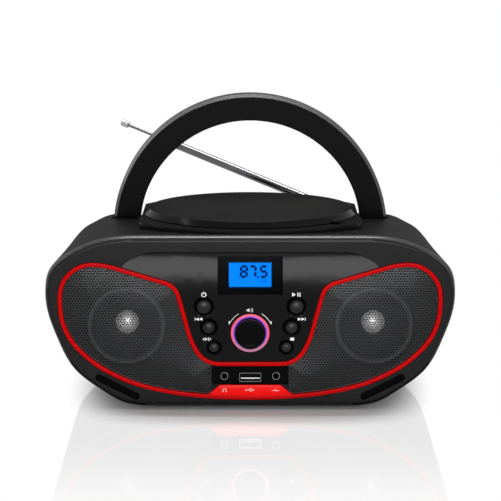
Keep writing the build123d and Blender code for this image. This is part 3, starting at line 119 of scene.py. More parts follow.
def principled(wire, material, inputs):
    shader = wire.node("ShaderNodeBsdfPrincipled", inputs=inputs)
    wire.node("ShaderNodeOutputMaterial", inputs={"Surface": shader})
    return material


def plastic(name, look):
    # moulded plastic: fine grain, faint cloudiness and wiping marks in the gloss
    material, wire = newMaterial(name)
    grain = noise(wire, look["grain"], 3.0)
    cloud = noise(wire, look.get("cloud", 22.0), 3.0)
    wipes = noise(wire, 60.0, 4.0, (1.0, 9.0, 14.0))
    rough = look["rough"] + (cloud - 0.5) * look["spread"] + (wipes - 0.5) * look["spread"]
    return principled(wire, material, {
        "Base Color": blend(wire, cloud, rgb(look["dark"]), rgb(look["light"])), "Roughness": rough,
        "Normal": wire.node("ShaderNodeBump", inputs={"Strength": look["bump"], "Distance": 0.00004,
                                                      "Height": grain}),
        "Specular IOR Level": look["specular"], "Coat Weight": look.get("coat", 0.0), "Coat Roughness": 0.05})


def metal(name, look):
    # plated or brushed metal: long fine lines and a little wear
    material, wire = newMaterial(name)
    lines = noise(wire, look["scale"], 4.0, look.get("lines", (1.0, 1.0, 1.0)))
    wear = noise(wire, 90.0, 3.0)
    return principled(wire, material, {
        "Base Color": blend(wire, wear, rgb(look["dark"]), rgb(look["light"])),
        "Roughness": look["rough"] + (lines - 0.5) * look["spread"], "Metallic": look.get("metallic", 1.0),
        "Specular IOR Level": look.get("specular", 0.5),
        "Normal": wire.node("ShaderNodeBump", inputs={"Strength": look["bump"], "Distance": 0.00002,
                                                      "Height": lines})})


def glow(name, look):
    # an evenly lit face, a touch uneven across
    material, wire = newMaterial(name)
    colour = blend(wire, noise(wire, look["cloud"]), rgb(look["dark"]), rgb(look["light"]))
    return principled(wire, material, {
        "Base Color": rgb((0.002, 0.004, 0.01)), "Roughness": 0.35, "Specular IOR Level": 0.02,
        "Emission Color": colour, "Emission Strength": look["strength"]})


def glass(name, look):
    # a clear moulding with faint clouds in its tint
    material, wire = newMaterial(name)
    deeper = [part * 0.97 for part in look["tint"]]
    return principled(wire, material, {
        "Base Color": blend(wire, noise(wire, 35.0), rgb(deeper), rgb(look["tint"])), "Roughness": look["rough"],
        "Transmission Weight": look["clear"], "IOR": look["ior"]})


shellLook = {"dark": (0.004, 0.004, 0.0045), "light": (0.008, 0.008, 0.0085), "grain": 2600.0, "rough": 0.52,
             "spread": 0.07, "bump": 0.10, "specular": 0.005}
finishes = {
    "shell": plastic("shellPlastic", shellLook),
    "bezel": plastic("bezelPlastic", {**shellLook, "dark": (0.005, 0.005, 0.0055), "rough": 0.28, "spread": 0.025,
                                      "specular": 0.12}),
    "deck": plastic("deckPlastic", {**shellLook, "rough": 0.55, "specular": 0.006}),
    "lid": plastic("lidPlastic", {**shellLook, "rough": 0.16, "specular": 0.03}),
    "lidTop": plastic("lidTopGrain", {**shellLook, "light": (0.009, 0.009, 0.008), "rough": 0.55, "specular": 0.004,
                                      "grain": 3000.0}),
    "handle": plastic("handlePlastic", {**shellLook, "light": (0.007, 0.007, 0.0075), "grain": 3400.0,
                                        "rough": 0.42, "bump": 0.16, "specular": 0.025}),
    "handleEdge": plastic("handleEdge", {**shellLook, "rough": 0.30, "bump": 0.04, "specular": 0.70}),
    "bezelEdge": plastic("bezelEdge", {**shellLook, "rough": 0.30, "spread": 0.02, "bump": 0.03, "specular": 0.30}),
    "panel": plastic("panelGloss", {**shellLook, "dark": (0.001, 0.001, 0.001), "light": (0.002, 0.002, 0.002),
                                    "rough": 0.17, "spread": 0.02, "bump": 0.01, "specular": 0.10}),
    "knob": plastic("knobGloss", {**shellLook, "dark": (0.002, 0.002, 0.002), "light": (0.003, 0.003, 0.003),
                                  "rough": 0.10, "spread": 0.03, "bump": 0.01, "specular": 0.03}),
    "button": plastic("buttonPlastic", {**shellLook, "dark": (0.005, 0.005, 0.006), "rough": 0.30, "bump": 0.04,
                                        "specular": 0.20}),
    "ports": plastic("portPlastic", {**shellLook, "dark": (0.002, 0.002, 0.002), "light": (0.003, 0.003, 0.003),
                                     "rough": 0.2, "specular": 0.015, "bump": 0.02}),
    "jack": plastic("jackPlastic", {**shellLook, "rough": 0.5}),
    "rubber": plastic("rubberFoot", {**shellLook, "rough": 0.8, "bump": 0.6, "grain": 1500.0}),
    "red": plastic("redGloss", {"dark": (0.40, 0.0003, 0.001), "light": (0.48, 0.0006, 0.001), "grain": 1800.0,
                                "rough": 0.24, "spread": 0.05, "bump": 0.02, "specular": 0.035}),
    # a lighter copy of the trim's red for the plate, which is the same red moulding: painted light
    "plateRed": plastic("plateRed", {"dark": (0.74, 0.002, 0.002), "light": (0.82, 0.004, 0.003), "grain": 1800.0,
                                     "rough": 0.22, "spread": 0.05, "bump": 0.02, "specular": 0.10}),
    "inner": plastic("innerPlastic", {"dark": (0.20, 0.21, 0.22), "light": (0.27, 0.27, 0.28), "grain": 1800.0,
                                      "rough": 0.5, "spread": 0.1, "bump": 0.1, "specular": 0.4}),
    "circuit": plastic("circuitBoard", {"dark": (0.012, 0.09, 0.035), "light": (0.02, 0.14, 0.055),
                                        "grain": 900.0, "rough": 0.35, "spread": 0.1, "bump": 0.2,
                                        "specular": 0.5, "cloud": 300.0}),
    "cone": plastic("speakerCone", {"dark": (0.016, 0.016, 0.017), "light": (0.026, 0.026, 0.028),
                                    "grain": 1400.0, "rough": 0.6, "spread": 0.1, "bump": 0.5,
                                    "specular": 0.2, "cloud": 160.0}),
    "roll": plastic("surroundRubber", {"dark": (0.070, 0.070, 0.073), "light": (0.095, 0.095, 0.10),
                                       "grain": 1400.0, "rough": 0.5, "spread": 0.1, "bump": 0.3,
                                       "specular": 0.2, "cloud": 160.0}),
    "core": plastic("varnishedCore", {"dark": (0.05, 0.04, 0.03), "light": (0.09, 0.07, 0.05), "grain": 800.0,
                                      "rough": 0.4, "spread": 0.2, "bump": 0.5, "specular": 0.5}),
    "ink": plastic("whiteInk", {"dark": (0.78, 0.78, 0.78), "light": (0.86, 0.86, 0.86), "grain": 2000.0,
                                "rough": 0.5, "spread": 0.1, "bump": 0.05, "specular": 0.2}),
    "plateInk": plastic("plateInk", {"dark": (0.85, 0.52, 0.50), "light": (0.95, 0.66, 0.62), "grain": 2000.0,
                                     "rough": 0.5, "spread": 0.1, "bump": 0.05, "specular": 0.2}),
    "segment": plastic("displaySegment", {"dark": (0.0, 0.004, 0.06), "light": (0.0, 0.006, 0.09),
                                          "grain": 2000.0, "rough": 0.5, "spread": 0.1, "bump": 0.0,
                                          "specular": 0.02}),
    "steel": metal("brushedSteel", {"lines": (1.0, 12.0, 12.0), "scale": 220.0, "dark": (0.30, 0.30, 0.31),
                                    "light": (0.46, 0.46, 0.47), "rough": 0.28, "spread": 0.2, "bump": 0.2}),
    "nickel": metal("socketNickel", {"scale": 400.0, "dark": (0.13, 0.13, 0.135),
                                     "light": (0.22, 0.22, 0.225), "rough": 0.25, "spread": 0.1, "bump": 0.1}),
    "chrome": metal("antennaChrome", {"scale": 500.0, "dark": (0.085, 0.085, 0.088),
                                      "light": (0.13, 0.13, 0.135), "rough": 0.14, "spread": 0.06, "bump": 0.02}),
    "grille": metal("grilleSteel", {"scale": 900.0, "dark": (0.018, 0.019, 0.020),
                                    "light": (0.030, 0.031, 0.033), "rough": 0.33, "spread": 0.15, "bump": 0.1,
                                    "metallic": 0.35, "specular": 0.34}),
    "cap": metal("dustCap", {"scale": 700.0, "dark": (0.78, 0.78, 0.79),
                             "light": (0.92, 0.92, 0.93), "rough": 0.34, "spread": 0.1, "bump": 0.1,
                             "metallic": 0.5}),
    "magnet": metal("magnetIron", {"scale": 300.0, "dark": (0.02, 0.02, 0.021),
                                   "light": (0.035, 0.035, 0.036), "rough": 0.5, "spread": 0.2, "bump": 0.3,
                                   "metallic": 0.5}),
    "window": glass("windowLens", {"tint": (0.78, 0.80, 0.82), "rough": 0.0, "clear": 1.0, "ior": 1.0}),
    "lens": glass("laserLens", {"tint": (0.5, 0.6, 0.9), "rough": 0.01, "clear": 0.8, "ior": 1.45}),
    "display": glow("displayBlue", {"dark": (0.0, 0.200, 1.0), "light": (0.0, 0.230, 1.0), "cloud": 60.0,
                                    "strength": 1.5}),
}
print("finishes ready:", len(finishes))


def addPiece(name, mesh, body, finish, slot, node=None):
    piece = bpy.data.objects.new(name, mesh)
    scene.collection.objects.link(piece)
    mesh.materials.clear()
    mesh.materials.append(finishes[finish] if isinstance(finish, str) else finish)
    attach(piece, body)
    if node:
        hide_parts(*([node] if isinstance(node, str) else node))
    return piece


def smoothByAngle(bm, degrees):
    limit = math.radians(degrees)
    for face in bm.faces:
        face.smooth = True
    for edge in bm.edges:
        edge.smooth = len(edge.link_faces) == 2 and edge.calc_face_angle(0.0) < limit


def finishMesh(bm, name, degrees=38):
    bmesh.ops.remove_doubles(bm, verts=bm.verts, dist=0.000002)
    bmesh.ops.recalc_face_normals(bm, faces=bm.faces)
    smoothByAngle(bm, degrees)
    mesh = bpy.data.meshes.new(name)
    bm.to_mesh(mesh)
    bm.free()
    return mesh


bodyOf = {}
for body, names in frame["record"]["behaviour"]["bodies"].items():
    for each in names:
        bodyOf[each] = body
slotOf = {entry["node"]: entry["material_slot"] for entry in frame["record"]["subparts"]}


def smoothCopy(node, finish, degrees=32, soften=0.0, change=None):
    # the CAD node's own shape with merged corners, smooth curves and softened edges
    bm = bmesh.new()
    bm.from_mesh(nodes[node].data)
    bmesh.ops.remove_doubles(bm, verts=bm.verts, dist=0.00001)
    bmesh.ops.dissolve_limit(bm, angle_limit=math.radians(0.4), verts=bm.verts, edges=bm.edges)
    if change:
        change(bm)
    smoothByAngle(bm, degrees)
    mesh = bpy.data.meshes.new(node + "Mesh")
    bm.to_mesh(mesh)
    bm.free()
    piece = addPiece(node + "Piece", mesh, bodyOf[node], finish, slotOf[node], node)
    if soften:
        edge = piece.modifiers.new("softEdges", "BEVEL")
        edge.width, edge.segments, edge.limit_method = soften, 2, "ANGLE"
        edge.angle_limit = math.radians(40)
    even = piece.modifiers.new("evenShading", "WEIGHTED_NORMAL")
    even.keep_sharp = True
    return piece


def paintFaces(piece, finish, chosen):
    # a further finish on the faces that are chosen
    piece.data.materials.append(finishes[finish])
    for face in piece.data.polygons:
        if chosen(face):
            face.material_index = len(piece.data.materials) - 1


def lathe(name, profile, centre, axis, steps=96, degrees=38):
    # a turned shape: the profile is (radius, height) in millimetres along the axis
    bm = bmesh.new()
    along = Vector(axis)
    side = Vector((1, 0, 0)) if abs(along.x) < 0.9 else Vector((0, 0, 1))
    ring = [bm.verts.new(Vector(centre) + side * (radius * mm) + along * (height * mm)) for radius, height in profile]
    edges = [bm.edges.new(pair) for pair in zip(ring, ring[1:])]
    bmesh.ops.spin(bm, geom=ring + edges, cent=centre, axis=axis, dvec=(0, 0, 0), angle=math.tau, steps=steps,
                   use_merge=True, use_normal_flip=False, use_duplicate=False)
    return finishMesh(bm, name, degrees)


def roundEdges(bm, edges, width, segments=3):
    bmesh.ops.bevel(bm, geom=edges, offset=width, offset_type="OFFSET", affect="EDGES", segments=segments,
                    profile=0.5, material=-1, clamp_overlap=True)


def arc(radius, height, fillet, start, end, steps=6):
    # points of a rounded profile corner, centred at (radius, height)
    return [(radius + fillet * math.cos(math.radians(start + (end - start) * i / steps)),
             height + fillet * math.sin(math.radians(start + (end - start) * i / steps)))
            for i in range(steps + 1)]


# the trim's middle line on the right half: x, z in millimetres and heading in degrees
trimPath = [(0, 28.4, 0), (18.3, 28.4, 0), (28.2, 32.0, 40), (34.8, 42.5, 68), (39.2, 57.7, 74),
            (42.2, 68.5, 74), (44.6, 73.6, 48), (50.0, 77.0, 16.7), (75.4, 84.62, 16.7), (84.0, 87.0, 12),
            (92.9, 88.0, 0), (102.6, 85.3, -31), (109.4, 78.6, -58), (112.1, 67.0, -90), (109.8, 50.6, -110),
            (101.4, 37.1, -134), (86.3, 25.0, -150), (68.4, 16.6, -161), (44.0, 10.9, -171), (0, 8.0, -180)]
trimPath += [(-x, z, -heading) for x, z, heading in reversed(trimPath[1:-1])]


def tracePath(grow=0.0, steps=8):
    # points of the trim's middle line, moved outwards by grow
    points = []
    for first, second in zip(trimPath, trimPath[1:] + trimPath[:1]):
        start, end = Vector((first[0], first[1], 0)), Vector((second[0], second[1], 0))
        reach = (end - start).length / 3
        handles = [Vector((math.cos(math.radians(h)), math.sin(math.radians(h)), 0)) * reach
                   for h in (first[2], second[2])]
        points += interpolate_bezier(start, start + handles[0], end - handles[1], end, steps + 1)[:-1]
    moved = []
    for before, here, after in zip(points[-1:] + points[:-1], points, points[1:] + points[:1]):
        heading = (after - before).normalized()
        moved.append(Vector((here.x - heading.y * grow, here.y + heading.x * grow)))
    return moved


def tube(name, points, radius, closed, sides=16):
    # a round bar along points
    curve = bpy.data.curves.new(name, "CURVE")
    curve.dimensions = "3D"
    curve.bevel_depth, curve.bevel_resolution = radius, sides // 4
    curve.use_fill_caps = not closed
    line = curve.splines.new("POLY")
    line.points.add(len(points) - 1)
    for spot, point in zip(line.points, points):
        spot.co = (*point, 1.0)
    line.use_cyclic_u = closed
    holder = bpy.data.objects.new(name, curve)
    mesh = bpy.data.meshes.new_from_object(holder)
    bpy.data.objects.remove(holder)
    bm = bmesh.new()
    bm.from_mesh(mesh)
    return bm


def onFace(x, z, depth):
    return Vector((x * mm, faceY + depth * mm, z * mm))


# red trim: a crowned band, with the plate that carries the port marks
trimLook = {"width": 2.35, "proud": 1.15, "seat": 1.2, "shoulder": 0.35}


def sweepBand(name, points, profile):
    # sweep a flat outline along a closed path in the face's plane
    holders = []
    for word, line, cyclic in ((name + "Section", profile, True), (name + "Path", points, True)):
        curve = bpy.data.curves.new(word, "CURVE")
        curve.dimensions = "2D"
        curve.fill_mode = "NONE"
        spline = curve.splines.new("POLY")
        spline.points.add(len(line) - 1)
        for spot, point in zip(spline.points, line):
            spot.co = (point[0] * mm, point[1] * mm, 0, 1)
        spline.use_cyclic_u = cyclic
        holders.append(bpy.data.objects.new(word, curve))
        scene.collection.objects.link(holders[-1])
    section, path = holders
    path.data.bevel_mode, path.data.bevel_object = "OBJECT", section
    graph = bpy.context.evaluated_depsgraph_get()
    bm = bmesh.new()
    bm.from_mesh(bpy.data.meshes.new_from_object(path.evaluated_get(graph)))
    for holder in holders:
        bpy.data.objects.remove(holder)
    for vert in bm.verts:
        vert.co = Vector((vert.co.x, faceY - vert.co.z, vert.co.y))
    return bm


half, proud = trimLook["width"] / 2, trimLook["proud"]
crown = [(half * math.cos(math.radians(a)), proud - trimLook["shoulder"]
          + trimLook["shoulder"] * math.sin(math.radians(a)) ** 0.7) for a in range(0, 181, 15)]
section = [(-half, -trimLook["seat"]), (half, -trimLook["seat"])] + crown
bm = sweepBand("redTrim", [(p.x, p.y) for p in tracePath(steps=12)], section)
addPiece("redTrimBand", finishMesh(bm, "redTrimBand", 50), "root", "red", "red", "red_trim")
plateLook = {"front": -0.85, "back": 1.4, "fillet": 0.45, "z": 12.6,
             "outline": [(-25.2, 9.6), (-17.8, 15.7), (17.8, 15.7), (25.2, 9.6)]}
bm = bmesh.new()
lower = [(x, 8.1 + x * x * 0.0016) for x in range(24, -25, -4)]
front = bm.faces.new([bm.verts.new(onFace(x, z, plateLook["front"])) for x, z in plateLook["outline"] + lower])
walls = bmesh.ops.extrude_face_region(bm, geom=[front])
bmesh.ops.translate(bm, verts=[v for v in walls["geom"] if isinstance(v, bmesh.types.BMVert)],
                    vec=(0, (plateLook["back"] - plateLook["front"]) * mm, 0))
rim = [e for e in bm.edges if all(abs(v.co.y - faceY - plateLook["front"] * mm) < 1e-5 for v in e.verts)]
roundEdges(bm, rim, plateLook["fillet"] * mm)
# the plate takes the lighter red, painted light on the same red moulding
addPiece("redPlate", finishMesh(bm, "redPlate", 40), "root", "plateRed", "red")
print("red trim ready")

# perforated grilles
grilleLook = {"pitch": 1.70, "bridge": 0.22, "front": 0.7, "thick": 0.45, "gap": 1.75, "inner": 23.3, "rim": 0.36,
              "smallest": 0.45, "crown": 1.5, "shoulder": 20.0}


def nearestOn(outline, x, z):
    # signed distance to the outline, more than nothing inside, and the nearest point
    inside, best = False, (1e9, None)
    for a, b in zip(outline, outline[1:] + outline[:1]):
        if (a[1] > z) != (b[1] > z) and x < (b[0] - a[0]) * (z - a[1]) / (b[1] - a[1]) + a[0]:
            inside = not inside
        dx, dz = b[0] - a[0], b[1] - a[1]
        t = max(0.0, min(1.0, ((x - a[0]) * dx + (z - a[1]) * dz) / (dx * dx + dz * dz)))
        spot = (a[0] + t * dx, a[1] + t * dz)
        best = min(best, (math.hypot(spot[0] - x, spot[1] - z), spot))
    return (best[0] if inside else -best[0]), best[1]


def makeGrille(side, word):
    outline = [(p.x, p.y) for p in tracePath(-grilleLook["gap"]) if p.x > grilleLook["inner"]]
    cut = max(range(len(outline)), key=lambda i: (Vector(outline[i]) - Vector(outline[i - 1])).length)
    outline = outline[cut:] + outline[:cut]
    outline = [(grilleLook["inner"], outline[0][1])] + outline + [(grilleLook["inner"], outline[-1][1])]
    bm = bmesh.new()
    pitch = grilleLook["pitch"]
    cell = pitch / math.sqrt(3)
    for row in range(2, 62):
        z = row * pitch * math.sqrt(3) / 2
        for column in range(8, 70):
            x = (column + (row % 2) / 2) * pitch
            if nearestOn(outline, x, z)[0] > -0.1 * pitch:
                bmesh.ops.create_circle(bm, cap_ends=True, segments=6, radius=cell,
                                        matrix=Matrix.Translation((x, z, 0)))
    bmesh.ops.remove_doubles(bm, verts=bm.verts, dist=0.02)
    for vert in [v for v in bm.verts if v.is_boundary]:
        # the outermost cells stretch to the sheet's edge
        vert.co.xy = nearestOn(outline, vert.co.x, vert.co.y)[1]
    bmesh.ops.remove_doubles(bm, verts=bm.verts, dist=0.08)
    full = 1.5 * math.sqrt(3) * cell ** 2
    cells = [f for f in bm.faces if f.calc_area() > grilleLook["smallest"] * full]
    bmesh.ops.inset_individual(bm, faces=cells, thickness=grilleLook["bridge"], use_even_offset=False)
    bmesh.ops.delete(bm, geom=cells, context="FACES_ONLY")
    for face in bm.faces:
        if face.normal.z < 0:
            face.normal_flip()
    for vert in bm.verts:
        x, z = vert.co.x, vert.co.y
        inwards = min(1.0, max(0.0, nearestOn(outline, x, z)[0]) / grilleLook["shoulder"])
        swell = grilleLook["crown"] * (1 - (1 - inwards) ** 2)
        vert.co = onFace(x * side, z, grilleLook["front"] - swell)
    if side < 0:
        bmesh.ops.reverse_faces(bm, faces=bm.faces)
    mesh = bpy.data.meshes.new(word + "GrilleSheet")
    bm.to_mesh(mesh)
    bm.free()
    sheet = addPiece(word + "GrilleSheet", mesh, "root", "grille", "grille", word + "_grille")
    solid = sheet.modifiers.new("sheetMetal", "SOLIDIFY")
    solid.thickness, solid.offset = grilleLook["thick"] * mm, -1.0
    points = [onFace(x * side, z, grilleLook["front"] + 0.05) for x, z in outline]
    bm = tube(word + "GrilleRim", points, grilleLook["rim"] * mm, True, sides=8)
    addPiece(word + "GrilleRim", finishMesh(bm, word + "GrilleRim", 60), "root", "grille", "grille")
    return len(cells)


for side, word in ((-1, "left"), (1, "right")):
    print(word, "grille holes:", makeGrille(side, word))


# shell pieces keep the CAD's shape
slotLook = {"from": 0.6, "side": 60.0, "below": 30.0, "pocket": 0.6}
edgeLook = {"slope": (0.30, 0.93), "upward": 0.05, "above": 62.0, "outside": 3.5, "top": 96.0, "side": 84.0}
outside = [(p.x, p.y) for p in tracePath(edgeLook["outside"])]


# faces inside the corner recesses, which get the painted shade
def shadedSlotInside(face):
    x, depth, z = face.center.x / mm, (face.center.y - faceY) / mm, face.center.z / mm
    return depth > slotLook["from"] and abs(x) > slotLook["side"] and z < slotLook["below"]


def onFrontEdge(face):
    x, z = face.center.x / mm, face.center.z / mm
    shallow, steep = edgeLook["slope"]
    return (shallow < -face.normal.y < steep and face.normal.z > edgeLook["upward"] and z > edgeLook["above"]
            and (z > edgeLook["top"] or abs(x) > edgeLook["side"]) and nearestOn(outside, x, z)[0] < 0)


bezel = smoothCopy("front_bezel", "bezel", 34)
paintFaces(bezel, "ports", shadedSlotInside)    # the inside of the corner recesses is painted blacker and duller than the bezel, a painted shade
paintFaces(bezel, "bezelEdge", onFrontEdge)    # the rounded edge of the front is polished
smoothCopy("rear_cabinet", "shell", 30)
deck = smoothCopy("top_deck", "deck", 30)
paintFaces(deck, "lid", lambda face: abs(face.normal.z) < 0.5)    # the plateau's walls are smooth
smoothCopy("battery_door", "shell", 30, 0.0003)
panel = smoothCopy("control_panel", "panel", 30)
low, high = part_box("display_window")
paintFaces(panel, "ports", lambda face: low[0] < face.center.x < high[0] and low[2] < face.center.z < high[2]
           and face.center.y > low[1] + slotLook["pocket"] * mm)    # the pocket behind the window is black
print("shell ready")

plain = {"lid_hinge_pin": "steel", "handle_pivot_pins": "steel", "antenna_bracket": "chrome",
         "antenna_knuckle": "chrome", "antenna_elbow_pin": "steel", "antenna_tube": "chrome",
         "antenna_middle_tube": "chrome", "antenna_rod": "chrome", "antenna_tip": "steel",
         "display_window": "window", "tact_switches": "jack", "control_board": "circuit",
         "volume_shaft": "steel", "volume_potentiometer": "steel", "port_panel": "ports",
         "headphone_jack": "jack", "aux_jack": "jack", "usb_socket": "jack", "port_board": "circuit",
         "mechanism_chassis": "inner", "guide_rods": "steel", "rubber_dampers": "rubber",
         "mechanism_screws": "steel", "spindle_motor": "steel", "turntable": "jack", "laser_sled": "jack",
         "laser_lens": "lens", "battery_contacts": "steel", "transformer": "core", "main_board": "circuit",
         "power_inlet": "jack", "case_screws": "steel", "rubber_feet": "rubber", "display_module": "display"}
for word in ("left", "right"):
    plain[word + "_speaker_frame"] = "magnet"
    plain[word + "_dust_cap"] = "cap"
    plain[word + "_speaker_magnet"] = "magnet"
for node, finish in plain.items():
    smoothCopy(node, finish)
surroundLook = {"inner": 20.4, "outer": 24.4}
for word in ("left", "right"):
    cone = smoothCopy(word + "_speaker_cone", "cone")
    low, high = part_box(word + "_speaker_cone")
    x, z = (low[0] + high[0]) / 2, (low[2] + high[2]) / 2
    paintFaces(cone, "roll", lambda face: surroundLook["inner"] < math.hypot(
        face.center.x - x, face.center.z - z) / mm < surroundLook["outer"])    # the rolled surround is rubber
print("carried-over nodes ready:", len(plain))

# push buttons: a domed cap in a dished ring
buttonLook = {"proud": 2.3, "wall": 0.9, "flange": 1.2, "collar": 1.15, "collarFrom": 5.3, "collarTo": 6.1,
              "stem": 1.4, "stemEnd": 8.8}
for node in ("power_button", "play_button", "previous_button", "next_button", "function_button", "stop_button"):
    low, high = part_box(node)
    x, z = (low[0] + high[0]) / 2, (low[2] + high[2]) / 2
    radius = (high[0] - low[0]) / 2 / mm - buttonLook["flange"]
    dome = [(radius * math.sin(math.radians(a)),
             -buttonLook["proud"] + (buttonLook["proud"] - buttonLook["wall"]) * (1 - math.cos(math.radians(a))))
            for a in range(0, 91, 9)]
    rim, front, back = radius + buttonLook["collar"], buttonLook["collarFrom"], buttonLook["collarTo"]
    profile = dome + [(radius, front - 0.05), (rim, front), (rim, back), (buttonLook["stem"], back),
                      (buttonLook["stem"], buttonLook["stemEnd"]), (0, buttonLook["stemEnd"])]
    mesh = lathe(node + "Cap", profile, (x, faceY, z), (0, 1, 0), 48, 40)
    addPiece(node + "Cap", mesh, bodyOf[node], "button", "button", node)

# volume knob and its light ring
knobLook = {"z": 47.0, "radius": 8.8, "front": -5.6, "dish": 0.35, "dishFoot": 5.2, "dishBrow": 6.9, "crest": 7.4,
            "fillet": 0.9, "skirtEnd": -0.9, "hub": 4.8, "back": 3.9, "shaft": 3.05, "boreEnd": -3.9}
front, fillet = knobLook["front"], knobLook["fillet"]
profile = [(0, front + knobLook["dish"]), (knobLook["dishFoot"], front + knobLook["dish"] * 0.8),
           (knobLook["dishBrow"], front + 0.05), (knobLook["crest"], front)]
profile += arc(knobLook["radius"] - fillet, front + fillet, fillet, -90, 0)
profile += [(knobLook["radius"], knobLook["skirtEnd"]), (knobLook["hub"], knobLook["skirtEnd"]),
            (knobLook["hub"], knobLook["back"]), (knobLook["shaft"], knobLook["back"]),
            (knobLook["shaft"], knobLook["boreEnd"]), (0, knobLook["boreEnd"])]
mesh = lathe("volumeKnobCap", profile, (0, faceY, knobLook["z"] * mm), (0, 1, 0))
addPiece("volumeKnobCap", mesh, "knob", "knob", "knob", "volume_knob")

ringLook = {"inner": 9.12, "outer": 11.45, "innerFillet": 0.5, "outerFillet": 0.6, "back": 1.2, "strength": 1.0}
material, wire = newMaterial("ringGlow")
across = wire.node("ShaderNodeSeparateXYZ", inputs={"Vector": place(wire)}, output="X")
upward = wire.node("ShaderNodeSeparateXYZ", inputs={"Vector": place(wire)}, output="Z") - knobLook["z"] * mm
radius = (across * across + upward * upward) ** 0.5
share = (radius - ringLook["inner"] * mm) / ((ringLook["outer"] - ringLook["inner"]) * mm)


def band(stops):
    # a colour band from the ring's inner edge to its outer edge
    ramp = wire.node("ShaderNodeValToRGB", inputs={"Fac": share})
    marks = ramp.socket.node.color_ramp.elements
    while len(marks) < len(stops):
        marks.new(0.5)
    for mark, (position, colour) in zip(marks, stops):
        mark.position, mark.color = position, rgb(colour)
    return ramp


upper = band([(0.0, (0.005, 0.005, 0.10)), (0.22, (0.03, 0.03, 0.62)), (0.45, (0.42, 0.03, 0.42)),
              (0.68, (0.80, 0.045, 0.075)), (1.0, (0.55, 0.02, 0.03))])
lower = band([(0.0, (0.01, 0.01, 0.05)), (0.3, (0.05, 0.03, 0.16)), (0.6, (0.30, 0.14, 0.22)),
              (1.0, (0.32, 0.12, 0.17))])
# the lower part of the ring is painted dimmer and paler than the upper part, a painted shade
sink = wire.node("ShaderNodeMapRange", inputs={"Value": upward, "From Min": -0.002, "From Max": -0.009})
colour = blend(wire, sink * (0.85 + noise(wire, 90.0) * 0.2), upper, lower)
finishes["ring"] = principled(wire, material, {
    "Base Color": (0.2, 0.05, 0.08, 1), "Roughness": 0.2, "Emission Color": colour,
    "Emission Strength": ringLook["strength"]})
inner, outer, back = ringLook["inner"], ringLook["outer"], ringLook["back"]
profile = [(inner, back), (inner, -0.2)]
profile += arc(inner + ringLook["innerFillet"], -0.2, ringLook["innerFillet"], 180, 270, 4)
profile += arc(outer - ringLook["outerFillet"], -0.1, ringLook["outerFillet"], 270, 360, 4)
profile += [(outer, back), (inner, back)]
mesh = lathe("knobLightRing", profile, (0, faceY, knobLook["z"] * mm), (0, 1, 0), 96, 50)
addPiece("knobLightRing", mesh, "root", "ring", "light", "knob_light_ring")
print("buttons and knob ready")

# disc lid
lidLook = {"radius": 66.0, "top": 110.1, "foot": 106.4, "skin": 2.5, "ring": 60.5, "ringFoot": 104.4, "wall": 2.0,
           "dish": 0.35, "brow": 63.4, "fillet": 0.7}
top, foot, fillet, dish = lidLook["top"], lidLook["foot"], lidLook["fillet"], lidLook["dish"]
radius, ring, wall, under = lidLook["radius"], lidLook["ring"], lidLook["wall"], top - lidLook["skin"]
profile = [(0, top - dish), (20, top - dish), (40, top - dish * 0.8), (60.0, top - 0.1), (61.4, top - 0.02)]
profile += arc(lidLook["brow"] - fillet, top - fillet, fillet, 90, 24, 4)
profile += [(radius, foot + 0.3), (radius - 0.3, foot), (radius - wall, foot), (radius - wall, under), (ring, under),
            (ring, lidLook["ringFoot"]), (ring - wall, lidLook["ringFoot"]), (ring - wall, under), (0, under)]
mesh = lathe("discLidCover", profile, (0, discY, 0), (0, 0, 1), 160, 30)
cover = addPiece("discLidCover", mesh, "lid", "lid", "lid", "disc_lid")
paintFaces(cover, "lidTop", lambda face: face.normal.z > 0.95)    # the flat top is finely grained


def addBox(bm, low, high, fillet=0.0):
    # a block between two corners, its edges rounded
    corners = bmesh.ops.create_cube(bm, size=1.0)["verts"]
    bmesh.ops.scale(bm, verts=corners, vec=[b - a for a, b in zip(low, high)])
    bmesh.ops.translate(bm, verts=corners, vec=[(a + b) / 2 for a, b in zip(low, high)])
    if fillet:
        roundEdges(bm, list({e for v in corners for e in v.link_edges}), fillet)


def blockPiece(name, low, high, fillet, body, finish, slot):
    # a piece that is one rounded block
    bm = bmesh.new()
    addBox(bm, low, high, fillet)
    addPiece(name, finishMesh(bm, name), body, finish, slot)


hingeY = frame["joints"][0]["pos_m"][1]
barrelLook = {"half": 19.7, "radius": 3.0, "z": 105.4, "bore": 1.56}
half, radius, bore = barrelLook["half"], barrelLook["radius"], barrelLook["bore"]
profile = [(bore, -half), (radius, -half), (radius, half), (bore, half), (bore, -half)]
mesh = lathe("lidHingeBarrel", profile, (0, hingeY, barrelLook["z"] * mm), (1, 0, 0), 40)
addPiece("lidHingeBarrel", mesh, "lid", "lid", "lid")
armLook = {"y": (-7.6, -0.4), "z": (106.4, 108.3), "fillet": 0.5}
(front, back), (foot, head) = armLook["y"], armLook["z"]
blockPiece("lidHingeArm", (-half * mm, hingeY + front * mm, foot * mm),
           (half * mm, hingeY + back * mm, head * mm), armLook["fillet"] * mm, "lid", "lid", "lid")
tabLook = {"x": 53.0, "y": -42.5, "z": 106.45, "size": (9.0, 8.0, 1.7), "lip": 1.6, "fillet": 0.5}
bm = bmesh.new()
length, width, thick = [s * mm for s in tabLook["size"]]
addBox(bm, (-length, -width / 2, 0), (tabLook["lip"] * mm, width / 2, thick), tabLook["fillet"] * mm)
turn = Matrix.Translation((tabLook["x"] * mm, discY + tabLook["y"] * mm, tabLook["z"] * mm)) @ Matrix.Rotation(
    math.atan2(tabLook["y"], tabLook["x"]), 4, "Z")
bmesh.ops.transform(bm, matrix=turn, verts=bm.verts)
addPiece("lidThumbTab", finishMesh(bm, "lidThumbTab"), "lid", "lid", "lid")
catchLook = {"half": 4.5, "y": (-63.1, -59.5), "z": (101.9, 108.5), "fillet": 0.4}
(front, back), (foot, head) = catchLook["y"], catchLook["z"]
